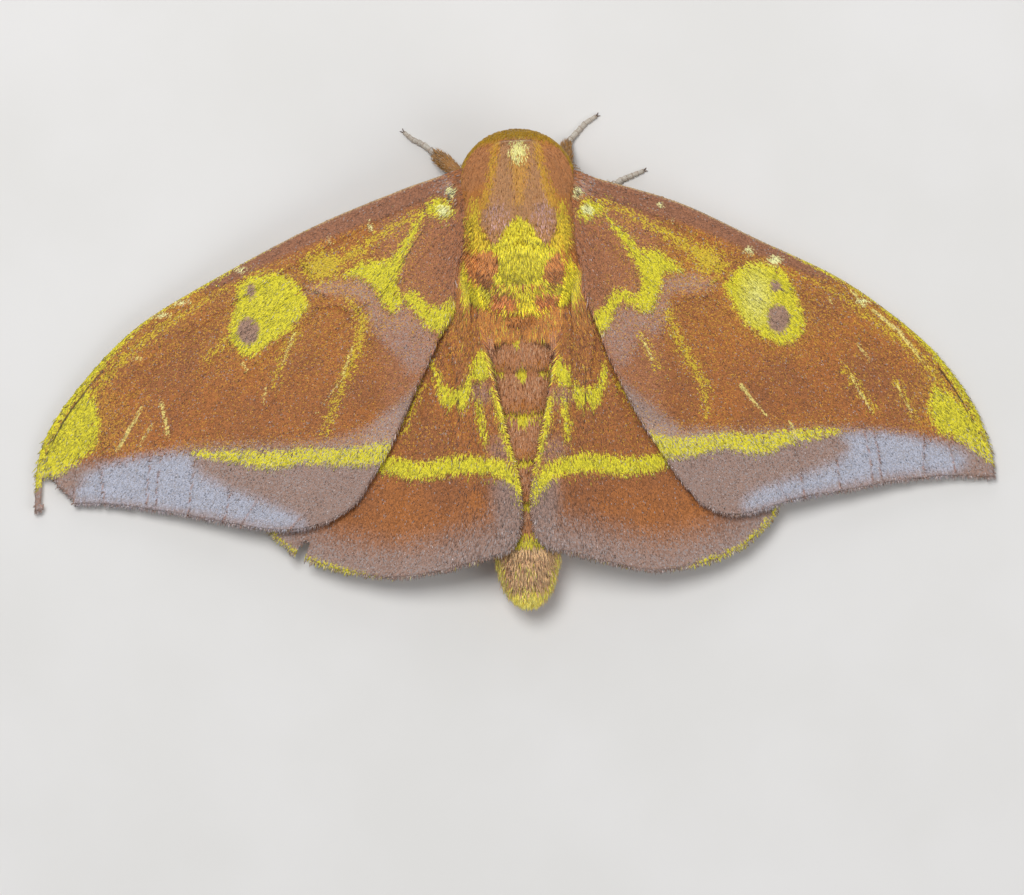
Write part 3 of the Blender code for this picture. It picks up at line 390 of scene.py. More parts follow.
def make_object(name, points, faces, material, smooth=True):
    """A mesh object from points in millimetres and a list of arrays of faces, riding on the body."""
    groups = [np.asarray(group) for group in faces if len(group)]
    mesh = bpy.data.meshes.new(name)
    mesh.vertices.add(len(points))
    mesh.vertices.foreach_set("co", to_world(points).astype(np.float32).ravel())
    corners = np.concatenate([group.ravel() for group in groups])
    sizes = np.concatenate([np.full(len(group), group.shape[1]) for group in groups])
    mesh.loops.add(len(corners))
    mesh.loops.foreach_set("vertex_index", corners.astype(np.int32))
    mesh.polygons.add(len(sizes))
    mesh.polygons.foreach_set("loop_start", (np.cumsum(sizes) - sizes).astype(np.int32))
    mesh.update(calc_edges=True)
    if smooth:
        mesh.shade_smooth()
    mesh.materials.append(material)
    obj = bpy.data.objects.new(name, mesh)
    bpy.context.scene.collection.objects.link(obj)
    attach(obj, "root")
    return obj


def put(obj, name, values):
    """Stores one number, vector or colour for each point of an object."""
    values = np.asarray(values, dtype=np.float32)
    kind, field = {1: ("FLOAT", "value"), 2: ("FLOAT_VECTOR", "vector")}.get(values.ndim)
    if values.ndim == 2 and values.shape[1] == 4:
        kind, field = "FLOAT_COLOR", "color"
    obj.data.attributes.new(name, kind, "POINT").data.foreach_set(field, values.ravel())


def put_coat(obj, colours):
    """Stores a colour for each point, which the materials read."""
    put(obj, "coat", np.column_stack([colours, np.ones(len(colours))]))


def read_points(mesh, field="co"):
    """A vector for each point of a mesh."""
    values = np.empty(len(mesh.vertices) * 3, np.float32)
    mesh.vertices.foreach_get(field, values)
    return values.reshape(-1, 3)


def to_body(points):
    """From metres in the model's frame to millimetres in the body's."""
    return (points.astype(float) - AXIS) / MM


def stacked(rows):
    """The columns of several rows of arrays, each joined into one."""
    return [np.concatenate(column) for column in zip(*rows)]


def smooth_curve(points, count, steps=24):
    """count points, evenly spaced along a smooth curve through the given ones."""
    p = np.array(points, float)
    p = np.vstack([2 * p[0] - p[1], p, 2 * p[-1] - p[-2]])
    t = np.linspace(0, 1, steps, endpoint=False)[:, None]
    fine = [0.5 * (2 * b + (c - a) * t + (2 * a - 5 * b + 4 * c - d) * t ** 2 + (3 * b - a - 3 * c + d) * t ** 3)
            for a, b, c, d in zip(p, p[1:], p[2:], p[3:])]
    fine = np.vstack([*fine, p[-2]])
    run = np.concatenate([[0], np.cumsum(np.linalg.norm(np.diff(fine, axis=0), axis=1))])
    wanted = np.linspace(0, run[-1], count)
    return np.stack([np.interp(wanted, run, fine[:, k]) for k in range(p.shape[1])], axis=1)


def read_curve(curve, share):
    """Points of an evenly spaced curve at an array of shares of its length."""
    places = np.linspace(0, 1, len(curve))
    return np.stack([np.interp(share, places, curve[:, k]) for k in range(curve.shape[1])], axis=-1)


# ---- markings as distances in the plan, positive inside

NOWHERE = -9.0  # far outside any mark
FAR_OFF = 99.0


def blob_distance(outlines, x, y):
    best = np.full(x.shape, NOWHERE)
    for outline in outlines:
        corners = smooth_curve(outline + outline[:1], 4 * len(outline))
        near = np.full(x.shape, FAR_OFF)
        inside = np.zeros(x.shape, bool)
        for (ax, ay), (bx, by) in zip(corners, corners[1:]):
            ex, ey = bx - ax, by - ay
            t = np.clip(((x - ax) * ex + (y - ay) * ey) / (ex * ex + ey * ey + 1e-9), 0, 1)
            near = np.minimum(near, np.hypot(x - ax - t * ex, y - ay - t * ey))
            if ay != by:
                inside ^= ((ay > y) != (by > y)) & (x < ex * (y - ay) / ey + ax)
        best = np.maximum(best, np.where(inside, near, -near))
    return best


def stroke_distance(strokes, x, y):
    best = np.full(x.shape, NOWHERE)
    for stroke in strokes:
        for (ax, ay, aw), (bx, by, bw) in zip(stroke, stroke[1:]):
            ex, ey = bx - ax, by - ay
            t = np.clip(((x - ax) * ex + (y - ay) * ey) / (ex * ex + ey * ey), 0, 1)
            best = np.maximum(best, aw + (bw - aw) * t - np.hypot(x - ax - t * ex, y - ay - t * ey))
    return best


def spot_distance(spots, x, y):
    best = np.full(x.shape, NOWHERE)
    for sx, sy, width, length in spots:
        reach = np.hypot((x - sx) / width, (y - sy) / length)
        best = np.maximum(best, (1 - reach) * min(width, length))
    return best


def curve_distance(curve, x, y):
    """Distance to a curve seen from above."""
    return -stroke_distance([[(px, py, 0.0) for px, py in curve]], x, y)


# Layers of the wings' pattern: mark, softness of its edge, raggedness, strength, colour.
LAYERS = (("warm", 1.4, 0.8, 1.0, WARM), ("mauve", 1.3, 0.8, 1.0, MAUVE), ("lilac", 0.8, 0.9, 0.8, LILAC),
          ("pearl", 1.1, 1.1, 0.92, PEARL), ("veil", 0.12, 0.15, 0.7, BROWN),
          ("costal", 0.4, 0.3, 0.9, COSTAL), ("rim", 0.1, 0.15, 0.7, RIM))
PATCHES = (("flecks", 0.3, 2.2, 0.85, GOLD), ("yellow", 0.3, 1.1, 1.0, YELLOW), ("glow", 1.6, 1.2, 0.5, CREAM),
           ("streaks", 0.1, 0.3, 0.85, STRAW), ("cream", 0.25, 0.7, 1.0, CREAM),
           ("ocellus", 0.2, 0.35, 1.0, OCELLUS), ("dark", 0.06, 0.1, 0.9, DARK))
SPECK_SHARE = 0.012  # of the scales are dark ones
HIDDEN_ROOT = 8.5  # nearer to the body than this, the costa's own marks are left out


# ---- materials

class Shader:
    """A Principled material and short ways to add nodes to it."""

    def __init__(self, name, **sockets):
        self.material = bpy.data.materials.new(name)
        self.material.use_nodes = True
        self.tree = self.material.node_tree
        self.surface = self.tree.nodes["Principled BSDF"]
        for socket, value in sockets.items():
            self.surface.inputs[socket.replace("_", " ")].default_value = value

    def node(self, kind, inputs=(), **settings):
        made = self.tree.nodes.new(kind)
        for key, value in settings.items():
            setattr(made, key, value)
        for key, value in dict(inputs).items():
            if isinstance(value, bpy.types.NodeSocket):
                self.tree.links.new(value, made.inputs[key])
            else:
                made.inputs[key].default_value = value
        return made

    def attribute(self, name, output="Fac"):
        return self.node("ShaderNodeAttribute", attribute_name=name).outputs[output]

    def place(self):
        """The object's own coordinates, in metres."""
        return self.node("ShaderNodeTexCoord").outputs["Object"]

    def maths(self, operation, a, b=0.0):
        return self.node("ShaderNodeMath", {0: a, 1: b}, operation=operation).outputs[0]

    def stretch(self, vector, scale):
        return self.node("ShaderNodeVectorMath", {0: vector, 1: scale}, operation="MULTIPLY").outputs[0]

    def noise(self, vector, scale, detail=2.0):
        inputs = {"Vector": vector, "Scale": scale, "Detail": detail}
        return self.node("ShaderNodeTexNoise", inputs).outputs["Fac"]

    def cells(self, vector, scale):
        """Distance to the nearest cell's middle, and a random number of each cell."""
        made = self.node("ShaderNodeTexVoronoi", {"Vector": vector, "Scale": scale})
        apart = self.node("ShaderNodeSeparateColor", {"Color": made.outputs["Color"]})
        return made.outputs["Distance"], apart.outputs[0], apart.outputs[1]

    def ramp(self, value, low, high, start=0.0, end=1.0):
        inputs = {"Value": value, "From Min": low, "From Max": high, "To Min": start, "To Max": end}
        return self.node("ShaderNodeMapRange", inputs, interpolation_type="SMOOTHSTEP").outputs["Result"]

    def mix(self, share, a, b, blend="MIX"):
        a, b = ((*rgb(c), 1.0) if isinstance(c, tuple) else c for c in (a, b))
        made = self.node("ShaderNodeMix", {0: share, 6: a, 7: b}, data_type="RGBA", blend_type=blend)
        return made.outputs[2]

    def fade(self, share, most, a, b):
        """From a towards b by a share of the most that it may be."""
        return self.mix(self.maths("MULTIPLY", share, most), a, b)

    def darken(self, paint, shade):
        """A colour times a grey."""
        grey = self.node("ShaderNodeCombineColor", {0: shade, 1: shade, 2: shade}).outputs[0]
        return self.mix(1.0, paint, grey, "MULTIPLY")

    def colour(self, socket):
        self.tree.links.new(socket, self.surface.inputs["Base Color"])

    def roughness(self, socket):
        self.tree.links.new(socket, self.surface.inputs["Roughness"])

    def bump(self, height, distance, strength=1.0):
        made = self.node("ShaderNodeBump", {"Height": height, "Distance": distance, "Strength": strength})
        self.tree.links.new(made.outputs["Normal"], self.surface.inputs["Normal"])


def wing_material():
    """Rows of scales: each mark is a stored distance, roughened along the wing and stippled scale by scale."""
    sh = Shader("wing_scales", Roughness=0.6, Sheen_Weight=0.15, Sheen_Roughness=0.4, Specular_IOR_Level=0.3)
    grain = sh.attribute("grain", "Vector")
    apart, cell, other = sh.cells(sh.stretch(grain, (9.0, 5.5, 1.0)), 1.0)
    streaks = sh.noise(sh.stretch(grain, (4.0, 0.9, 1.0)), 1.0, 3.0)
    clouds = sh.noise(sh.stretch(grain, (0.16, 0.12, 1.0)), 1.0, 3.0)
    ragged = sh.maths("MULTIPLY", sh.maths("SUBTRACT", streaks, 0.5), 1.9)
    stipple = sh.maths("MULTIPLY", sh.maths("SUBTRACT", cell, 0.5), 0.5)
    rough = sh.maths("ADD", ragged, stipple)

    def lay(paint, layers):
        for name, soft, spread, most, tint in layers:
            value = sh.maths("ADD", sh.attribute(name), sh.maths("MULTIPLY", rough, spread))
            paint = sh.fade(sh.ramp(value, -soft, soft), most, paint, tint)
        return paint

    paint = lay(sh.mix(sh.ramp(clouds, 0.35, 0.65), ORANGE, BROWN), LAYERS)
    chance = sh.maths("MULTIPLY", sh.attribute("scatter"), 0.5)
    fleck = sh.maths("GREATER_THAN", sh.maths("ADD", other, chance), 1.0)
    paint = lay(sh.fade(fleck, 0.6, paint, OCHRE), PATCHES)
    pale = sh.maths("LESS_THAN", cell, sh.attribute("frost"))
    paint = sh.fade(pale, 0.5, paint, FROST)
    specks = sh.maths("LESS_THAN", other, sh.maths("ADD", SPECK_SHARE, sh.attribute("freckle")))
    paint = sh.fade(specks, 0.5, paint, DARK)
    under = sh.mix(sh.ramp(streaks, 0.35, 0.7), *UNDER)
    paint = sh.fade(sh.attribute("underside"), 0.7, paint, under)
    sh.colour(sh.darken(paint, sh.ramp(cell, 0.0, 1.0, 0.7, 1.28)))
    height = sh.maths("ADD", sh.maths("MULTIPLY", apart, -1.0), sh.maths("MULTIPLY", streaks, 1.2))
    sh.bump(height, 0.00005, 0.5)
    return sh.material


def coat_material():
    """Hair-like scales, each tuft in its own stored colour."""
    sh = Shader("coat_hair", Roughness=0.6, Sheen_Weight=0.25, Sheen_Roughness=0.5, Specular_IOR_Level=0.25)
    grain = sh.noise(sh.place(), 9000.0, 2.0)
    sh.colour(sh.darken(sh.attribute("coat", "Color"), sh.ramp(grain, 0.3, 0.7, 0.85, 1.12)))
    sh.roughness(sh.ramp(grain, 0.3, 0.7, 0.5, 0.7))
    sh.bump(grain, 0.00002, 0.4)
    return sh.material


def skin_material():
    """The body under the coat: the coat's own colours, darker as painted shade under the hair, with a fine matted
    nap.
    """
    sh = Shader("body_skin", Roughness=0.75, Sheen_Weight=0.15, Specular_IOR_Level=0.2)
    nap = sh.noise(sh.stretch(sh.place(), (1.0, 0.3, 1.0)), 9000.0, 3.0)
    # Painted shade: the skin is darker than the coat over it, more or less so with the nap.
    dark = sh.mix(sh.ramp(nap, 0.3, 0.7), (110, 96, 84), (215, 205, 195))
    sh.colour(sh.mix(1.0, sh.attribute("coat", "Color"), dark, "MULTIPLY"))
    sh.bump(nap, 0.00006, 0.7)
    return sh.material


def horn_material(name, roughness):
    """Hard parts under fine down: feet, claws and feelers, in their own stored colours."""
    sh = Shader(name, Roughness=roughness, Specular_IOR_Level=0.4)
    grain, wash = sh.noise(sh.place(), 14000.0, 3.0), sh.noise(sh.place(), 1600.0, 2.0)
    tone = sh.mix(sh.ramp(grain, 0.3, 0.7), (188, 180, 170), (255, 255, 255))
    base = sh.mix(1.0, sh.attribute("coat", "Color"), tone, "MULTIPLY")
    sh.colour(sh.mix(sh.ramp(wash, 0.4, 0.75, 0.0, 0.15), base, BROWN))
    sh.roughness(sh.ramp(grain, 0.3, 0.7, roughness - 0.1, roughness + 0.1))
    sh.bump(grain, 0.00002, 0.6)
    return sh.material


def eye_material():
    """Dark and glossy, with a faint brown cast between the facets."""
    sh = Shader("compound_eye", Roughness=0.22, Specular_IOR_Level=0.45, Coat_Weight=0.12, Coat_Roughness=0.1)
    apart, cell, _ = sh.cells(sh.place(), 11000.0)
    wash = sh.noise(sh.place(), 900.0, 2.0)
    facet = sh.mix(sh.ramp(wash, 0.35, 0.65), (24, 16, 14), (50, 30, 20))
    sh.colour(sh.mix(sh.ramp(apart, 0.3, 0.6, 0.0, 0.5), facet, (74, 48, 30)))
    sh.roughness(sh.ramp(cell, 0.0, 1.0, 0.16, 0.3))
    sh.bump(apart, 0.00002, 0.5)
    return sh.material


WING = wing_material()
COAT = coat_material()
SKIN = skin_material()
FOOT = horn_material("leg_cuticle", 0.55)
FEELER = horn_material("antenna_cuticle", 0.5)
EYE = eye_material()


# ---- wings

def ramp_up(value, start, span):
    return np.clip((value - start) / span, 0, 1)


def wing_height(name, x, y, s):
    """Height of a wing's middle surface, as in part.py."""
    z = TENT_EDGE + (TENT_TOP - TENT_EDGE) * np.exp(-np.hypot(x, CREST_ROUND) / TENT_FALL)
    z = z * (1 - TAIL_DROP * np.maximum(0, -y))
    if name.startswith("forewing"):
        lowered = ramp_up(np.abs(x), LOWERING_START, LOWERING_SPAN)
        drooped = ramp_up(np.abs(x), DROOP_START, DROOP_SPAN) * (1 - lowered)
        z = z + HINDWING_TO_FOREWING - TIP_LOWERING * lowered
        z = z - COSTA_DROOP * np.maximum(0, 1 - s / DROOP_WIDTH) ** 2 * drooped
    return z


def wing_plan(edges, s, t):
    """Points seen from above, by their shares from costa to inner margin and from root to margin."""
    s, t = np.asarray(s)[..., None], np.asarray(t)[..., None]
    costa, inner = read_curve(edges["costa"], t[..., 0]), read_curve(edges["inner"], t[..., 0])
    root, margin = read_curve(edges["root"], s[..., 0]), read_curve(edges["margin"], s[..., 0])
    corners = ((1 - s) * (1 - t) * edges["root"][0] + s * (1 - t) * edges["root"][-1]
               + (1 - s) * t * edges["margin"][0] + s * t * edges["margin"][-1])
    return (1 - s) * costa + s * inner + (1 - t) * root + t * margin - corners


def wing_marks(label, x, y, to_costa, to_margin, to_inner, to_vein):
    """Each mark's distance inside its edge in millimetres, for points seen from above."""
    span = np.abs(x)
    marks = {layer[0]: np.full(x.shape, NOWHERE) for layer in (*LAYERS, *PATCHES)}
    marks["freckle"] = np.zeros(x.shape)
    if label == "forewing":
        strip = 0.12 + 0.6 * step(span, 42, 53) - 1.1 * (1 - step(span, 25, 36)) - to_costa
        marks["yellow"] = np.maximum.reduce([
            blob_distance(YELLOW_BLOBS, x, y), stroke_distance(YELLOW_STROKES, x, y),
            np.where((y > -17.3) & (span > 12), strip, NOWHERE)])
        band = 0.62 - np.abs(to_costa - 1.75) - 0.5 * (1 - step(span, 33, 44))
        marks["flecks"] = np.maximum.reduce([stroke_distance(FLECK_STROKES, x, y) - 0.2,
                                             0.8 * blob_distance(GOLD_BLOBS, x, y) + 0.1,
                                             np.where((span > 30) & (span < 52), band - 0.5, NOWHERE)])
        marks["streaks"] = stroke_distance(PALE_STREAKS, x, y)
        marks["pearl"] = np.minimum(blob_distance(PEARL_BLOBS, x, y) - 0.1, to_margin - 0.3)
        marks["lilac"] = np.maximum(blob_distance(LILAC_BLOBS, x, y), spot_distance(BASE_LILAC, x, y))
        beyond = -12.9 - y - 1.5 * step(span, 38, 50)
        width = 2.3 - 0.9 * step(span, 14, 33) - 2.5 * step(span, 33, 44)
        marks["costal"] = np.where(span > HIDDEN_ROOT, width - to_costa, NOWHERE)
        marks["glow"] = spot_distance(GLOW_SPOTS, x, y) - 0.5
        marks["mauve"] = np.maximum(beyond, 4.0 * step(-y, 4.0, 13.0) - 0.8 - to_inner)
        marks["warm"] = np.minimum(16.5 - span, 14.5 - y)
        marks["veil"] = np.where(marks["pearl"] > -0.5, 0.1 - to_vein, NOWHERE)
        marks["ocellus"] = spot_distance(OCELLI, x, y)
        marks["cream"] = np.maximum(spot_distance(CREAM_SPOTS, x, y), spot_distance(COSTA_FLECKS, x, y) - 0.3)
        marks["rim"] = np.where((span > HIDDEN_ROOT) & (span < 50), 0.14 - to_costa, NOWHERE)
        rule = 0.11 - np.abs(to_costa - 0.95)
        marks["dark"] = np.maximum.reduce([spot_distance(BASE_DOTS, x, y), stroke_distance(FOLDS, x, y),
                                           np.where((span > 49.5) & (y > -16.5), rule, NOWHERE)])
        apex = step(span, 41, 52) * step(-y, 3.0, 8.0) * step(y, -15.5, -13.5)
        disc = step(span, 14, 20) * step(y, -9, 2)
        dusting = 0.12 + 0.75 * apex + 0.4 * disc + 0.3 * step(marks["yellow"], -3.0, -0.5)
        marks["scatter"] = (dusting * (1 - step(marks["costal"], -0.4, 0.2)) * step(span, 6, 13)
                            * step(y, -14.2, -12.6))
        marks["frost"] = 0.025 + 0.22 * step(marks["mauve"], -1.5, 1.0) + 0.16 * step(marks["lilac"], -1.0, 0.5)
        marks["freckle"] = 0.14 * step(span, 46, 51) * step(y, -15.5, -13.5)
    else:
        marks["yellow"] = np.maximum.reduce([blob_distance(HIND_BLOBS, x, y), stroke_distance(HIND_STROKES, x, y),
                                             0.8 * step(span, 15, 22) - 0.6 - to_margin])
        marks["flecks"] = stroke_distance(HIND_FLECKS, x, y) - 0.1
        marks["lilac"] = blob_distance(HIND_LILAC, x, y)
        marks["dark"] = stroke_distance(FOLDS, x, y)
        marks["mauve"] = np.maximum(0.45 * (3.6 - to_margin), np.where(y < -17.5, 4.0 - span, NOWHERE))
        marks["warm"] = 2.5 - span
        marks["scatter"] = (0.2 + 0.2 * step(y, -12, 0)) * step(y, -18.5, -16.0)
        marks["frost"] = 0.02 + 0.26 * step(6.5 - to_margin, 0, 6) * step(-y, 16, 20)
    return marks


def wing_colour(marks, below, rng):
    """The colour of each scale, from the same layers as the shader's."""
    count = len(below)
    rough = rng.normal(0, 0.3, count) + rng.normal(0, 0.14, count)
    colour = rgb(ORANGE) + (rgb(BROWN) - rgb(ORANGE)) * rng.random(count)[:, None]

    def lay(layers):
        nonlocal colour
        for name, soft, spread, most, tint in layers:
            share = (step(marks[name] + rough * spread, -soft, soft) * most)[:, None]
            colour = colour * (1 - share) + rgb(tint) * share

    lay(LAYERS)
    fleck = (rng.random(count) < marks["scatter"] * 0.55)[:, None]
    colour = np.where(fleck, colour * 0.3 + rgb(OCHRE) * 0.7, colour)
    lay(PATCHES)
    pale = (rng.random(count) < marks["frost"])[:, None]
    colour = np.where(pale, colour * 0.5 + rgb(FROST) * 0.5, colour)
    speck = (rng.random(count) < SPECK_SHARE + marks["freckle"])[:, None]
    colour = np.where(speck, colour * 0.5 + rgb(DARK) * 0.5, colour)
    mixed = rgb(UNDER[0]) + (rgb(UNDER[1]) - rgb(UNDER[0])) * rng.random(count)[:, None]
    colour = np.where(below[:, None], colour * 0.3 + mixed * 0.7, colour)
    return colour * np.clip(1 + rng.normal(0, 0.19, count), 0.5, 1.6)[:, None]


def vein_distance(veins, edges, x, y):
    near = np.full(x.shape, FAR_OFF)
    for vein in veins:
        s, t = read_curve(smooth_curve(vein, 20), np.linspace(0, 1, 14)).T
        near = np.minimum(near, curve_distance(wing_plan(edges, s, t), x, y))
    return near


def vein_lift(near):
    """How far the surface rises over veins and sags between them."""
    return VEIN_HEIGHT * np.exp(-(near / VEIN_WIDTH) ** 2) - MEMBRANE_SAG * (1 - np.exp(-(near / SAG_REACH) ** 2))


def pattern(wing, x, y):
    """The marks at any places of a wing."""
    edges = wing["edges"]
    gaps = [curve_distance(edges[edge][::4], x, y) for edge in ("costa", "margin", "inner")]
    return wing_marks(wing["label"], x, y, *gaps, vein_distance(wing["veins"], edges, x, y))


def build_wing(label, side, mirror, shape, veins):
    name = f"{label}_{side}"
    edges = {}
    for edge in ("costa", "margin", "inner"):
        edges[edge] = smooth_curve([(x * mirror, y) for x, y in shape[side][edge]], 160)
    edges["root"] = np.array([edges["costa"][0], edges["inner"][0]])
    length = np.linalg.norm(np.diff(edges["costa"], axis=0), axis=1).sum()
    width = np.linalg.norm(np.diff(edges["margin"], axis=0), axis=1).sum()
    rows, columns = int(length / GRID_PITCH), int(width / GRID_PITCH)
    t, s = np.meshgrid(np.linspace(0, 1, rows), np.linspace(0, 1, columns), indexing="ij")
    plan = wing_plan(edges, s, t)
    x, y = plan[..., 0].ravel(), plan[..., 1].ravel()
    s, t = s.ravel(), t.ravel()
    chord = np.linalg.norm(plan[:, 0] - plan[:, -1], axis=1).repeat(columns)
    z = wing_height(name, x, y, s) + vein_lift(vein_distance(veins, edges, x, y)) * np.minimum(1, 6 * t)
    middle = np.stack([x, y, z + WING_TOP - WING_THICKNESS / 2], axis=1)

    index = np.arange(rows * columns).reshape(rows, columns)
    quads = np.stack([index[:-1, :-1], index[:-1, 1:], index[1:, 1:], index[1:, :-1]], axis=-1).reshape(-1, 4)
    centre = middle[quads].mean(axis=1)
    gone = np.zeros(len(quads), bool)
    if name == "forewing_left":
        gone = blob_distance([TORN_TIP], centre[:, 0], centre[:, 1]) > 0
    if name == "hindwing_left":
        gone = blob_distance([MARGIN_BITE], centre[:, 0], centre[:, 1]) > 0
    quads = quads[~gone]
    used = np.unique(quads)
    renumber = np.full(len(middle), -1)
    renumber[used] = np.arange(len(used))
    quads = renumber[quads]
    middle, s, t, chord = middle[used], s[used], t[used], chord[used]
    x, y = middle[:, 0], middle[:, 1]

    a, b, c = (middle[quads[:, k]] for k in (0, 1, 3))
    across = np.cross(b - a, c - a)
    if across[:, 2].sum() < 0:
        quads, across = quads[:, ::-1], -across
    normals = np.zeros_like(middle)
    for k in range(4):
        np.add.at(normals, quads[:, k], across)
    normals = unit(normals)
    thick = WING_THICKNESS * (0.55 + 0.45 * np.minimum(1, 8 * (1 - t)) * np.minimum(1, 12 * s))[:, None]
    points = np.vstack([middle + normals * thick / 2, middle - normals * thick / 2])
    half = len(middle)
    sides = np.concatenate([quads[:, [k, (k + 1) % 4]] for k in range(4)])
    key = np.sort(sides, axis=1) @ np.array([half, 1])
    _, first, counts = np.unique(key, return_index=True, return_counts=True)
    rim = sides[first[counts == 1]]
    rim_faces = np.stack([rim[:, 1], rim[:, 0], rim[:, 0] + half, rim[:, 1] + half], axis=1)
    obj = make_object(f"dressed_{name}", points, [quads, quads[:, ::-1] + half, rim_faces], WING)

    wing = {"edges": edges, "name": name, "label": label, "mirror": mirror, "veins": veins, "object": obj}
    for mark, values in pattern(wing, x, y).items():
        put(obj, mark, np.concatenate([values, values]))
    put(obj, "underside", np.concatenate([np.zeros(half), np.ones(half)]))
    grain = np.stack([(s - 0.5) * chord, t * length, np.full(half, 10.0 * mirror)], axis=1)
    put(obj, "grain", np.vstack([grain, grain]))
    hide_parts(name)
    return wing


wings = []
for side, mirror in SIDES:
    wings.append(build_wing("forewing", side, mirror, FOREWING, FOREWING_VEINS))
    wings.append(build_wing("hindwing", side, mirror, HINDWING, HINDWING_VEINS))


# ---- body: one skin under the coat

def between(rows, y):
    """Half width, low and high edge of a body form at the places y, as in part.py."""
    table = np.array(rows)[::-1]
    places, values = table[:, 0], table[:, 1:]
    last = len(places) - 1
    before, after = np.maximum(np.arange(last + 1) - 1, 0), np.minimum(np.arange(last + 1) + 1, last)
    slopes = (values[after] - values[before]) / (places[after] - places[before])[:, None]
    y = np.clip(y, places[0], places[-1])
    i = np.clip(np.searchsorted(places, y, side="right") - 1, 0, last - 1)
    length = (places[i + 1] - places[i])[..., None]
    t = (y - places[i])[..., None] / length
    a, b, u, v = values[i], values[i + 1], slopes[i] * length, slopes[i + 1] * length
    return a + u * t + (3 * (b - a) - 2 * u - v) * t ** 2 + (2 * (a - b) + u + v) * t ** 3


def swell(value, middle, half):
    return np.maximum(0, 1 - ((value - middle) / half) ** 2)


def thorax_relief(y, angle):
    from_top = np.minimum(angle, 2 * math.pi - angle)
    raised = np.zeros(np.broadcast(y, angle).shape)
    for middle, half, lobe_angle, half_angle, height in THORAX_LOBES:
        share = np.minimum(1, LOBE_STEEPNESS * swell(y, middle, half) * swell(from_top, lobe_angle, half_angle))
        raised = np.maximum(raised, SKIN_RELIEF * height * share)
    return raised


def abdomen_relief(y, angle):
    raised = np.zeros(np.broadcast(y, angle).shape)
    fronts = (ABDOMEN[0][0], *SEGMENT_ENDS[:-1])
    for front, end in zip(fronts, SEGMENT_ENDS):
        raised = np.where((y >= end) & (y < front), 0.5 * SEGMENT_STEP * (front - y) / (front - end), raised)
    return raised


def loft(rows, waist_share, stations, sides, relief, shrink):
    """Points and faces of a closed body form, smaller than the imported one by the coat's depth."""
    y, angle = np.meshgrid(stations, np.linspace(0, 2 * math.pi, sides, endpoint=False), indexing="ij")
    sizes = between(rows, y)
    half, low, high = sizes[..., 0], sizes[..., 1], sizes[..., 2]
    waist = low + (high - low) * waist_share
    up, out = np.cos(angle), np.sin(angle)
    height = np.where(up >= 0, high - waist, waist - low)
    width = half * (1 - BELLY_NARROWING * np.maximum(0, -up) ** BELLY_POWER)
    more = relief(y, angle) - shrink
    grid = np.stack([out * (width + more), y, waist + up * (height + more)], axis=-1)
    return closed_grid(grid)


def closed_grid(grid):
    """Points and triangles of a tube of rings, closed with a fan at either end."""
    rings, sides = grid.shape[:2]
    index = np.arange(rings * sides).reshape(rings, sides)
    here, there = index, np.roll(index, -1, axis=1)
    quads = np.stack([here[:-1], there[:-1], there[1:], here[1:]], axis=-1).reshape(-1, 4)
    first, last = rings * sides, rings * sides + 1
    points = np.vstack([grid.reshape(-1, 3), grid[0].mean(axis=0), grid[-1].mean(axis=0)])
    start = np.stack([there[0], here[0], np.full(sides, first)], axis=-1)
    end = np.stack([here[-1], there[-1], np.full(sides, last)], axis=-1)
    return points, [quads, np.vstack([start, end])]


def ellipsoid(centre, radii, shrink, sides=40, rings=24, pole=0.06):
    tilts = np.linspace(pole, math.pi - pole, rings)
    tilt, turn = np.meshgrid(tilts, np.linspace(0, 2 * math.pi, sides, endpoint=False), indexing="ij")
    shape = np.stack([np.sin(tilt) * np.cos(turn), np.sin(tilt) * np.sin(turn), np.cos(tilt)], axis=-1)
    return closed_grid(np.array(centre) + shape * (np.array(radii) - shrink))


def frames(points):
    """Unit vectors along a path and two across it that don't twist."""
    along = unit(np.gradient(points, axis=0))
    side = np.empty_like(points)
    start = np.cross(along[0], (0.0, 0.0, 1.0))
    side[0] = unit(start if np.linalg.norm(start) > 1e-3 else np.array([1.0, 0.0, 0.0]))
    for i in range(1, len(points)):
        side[i] = unit(side[i - 1] - along[i] * (side[i - 1] @ along[i]))
    return along, side, np.cross(along, side)


def tube(points, radii, sides):
    points, radii = np.asarray(points, float), np.asarray(radii, float)
    _, side, up = frames(points)
    angle = np.linspace(0, 2 * math.pi, sides, endpoint=False)[None, :, None]
    grid = points[:, None] + radii[:, None, None] * (np.cos(angle) * side[:, None] + np.sin(angle) * up[:, None])
    return closed_grid(grid)


def joined(parts):
    """Points and faces of several closed forms as one list of each."""
    points, groups, start = [], [], 0
    for some, faces in parts:
        points.append(some)
        groups += [group + start for group in faces]
        start += len(some)
    return np.vstack(points), groups


def mirrored(route, mirror):
    return [(x * mirror, y, z) for x, y, z in route]


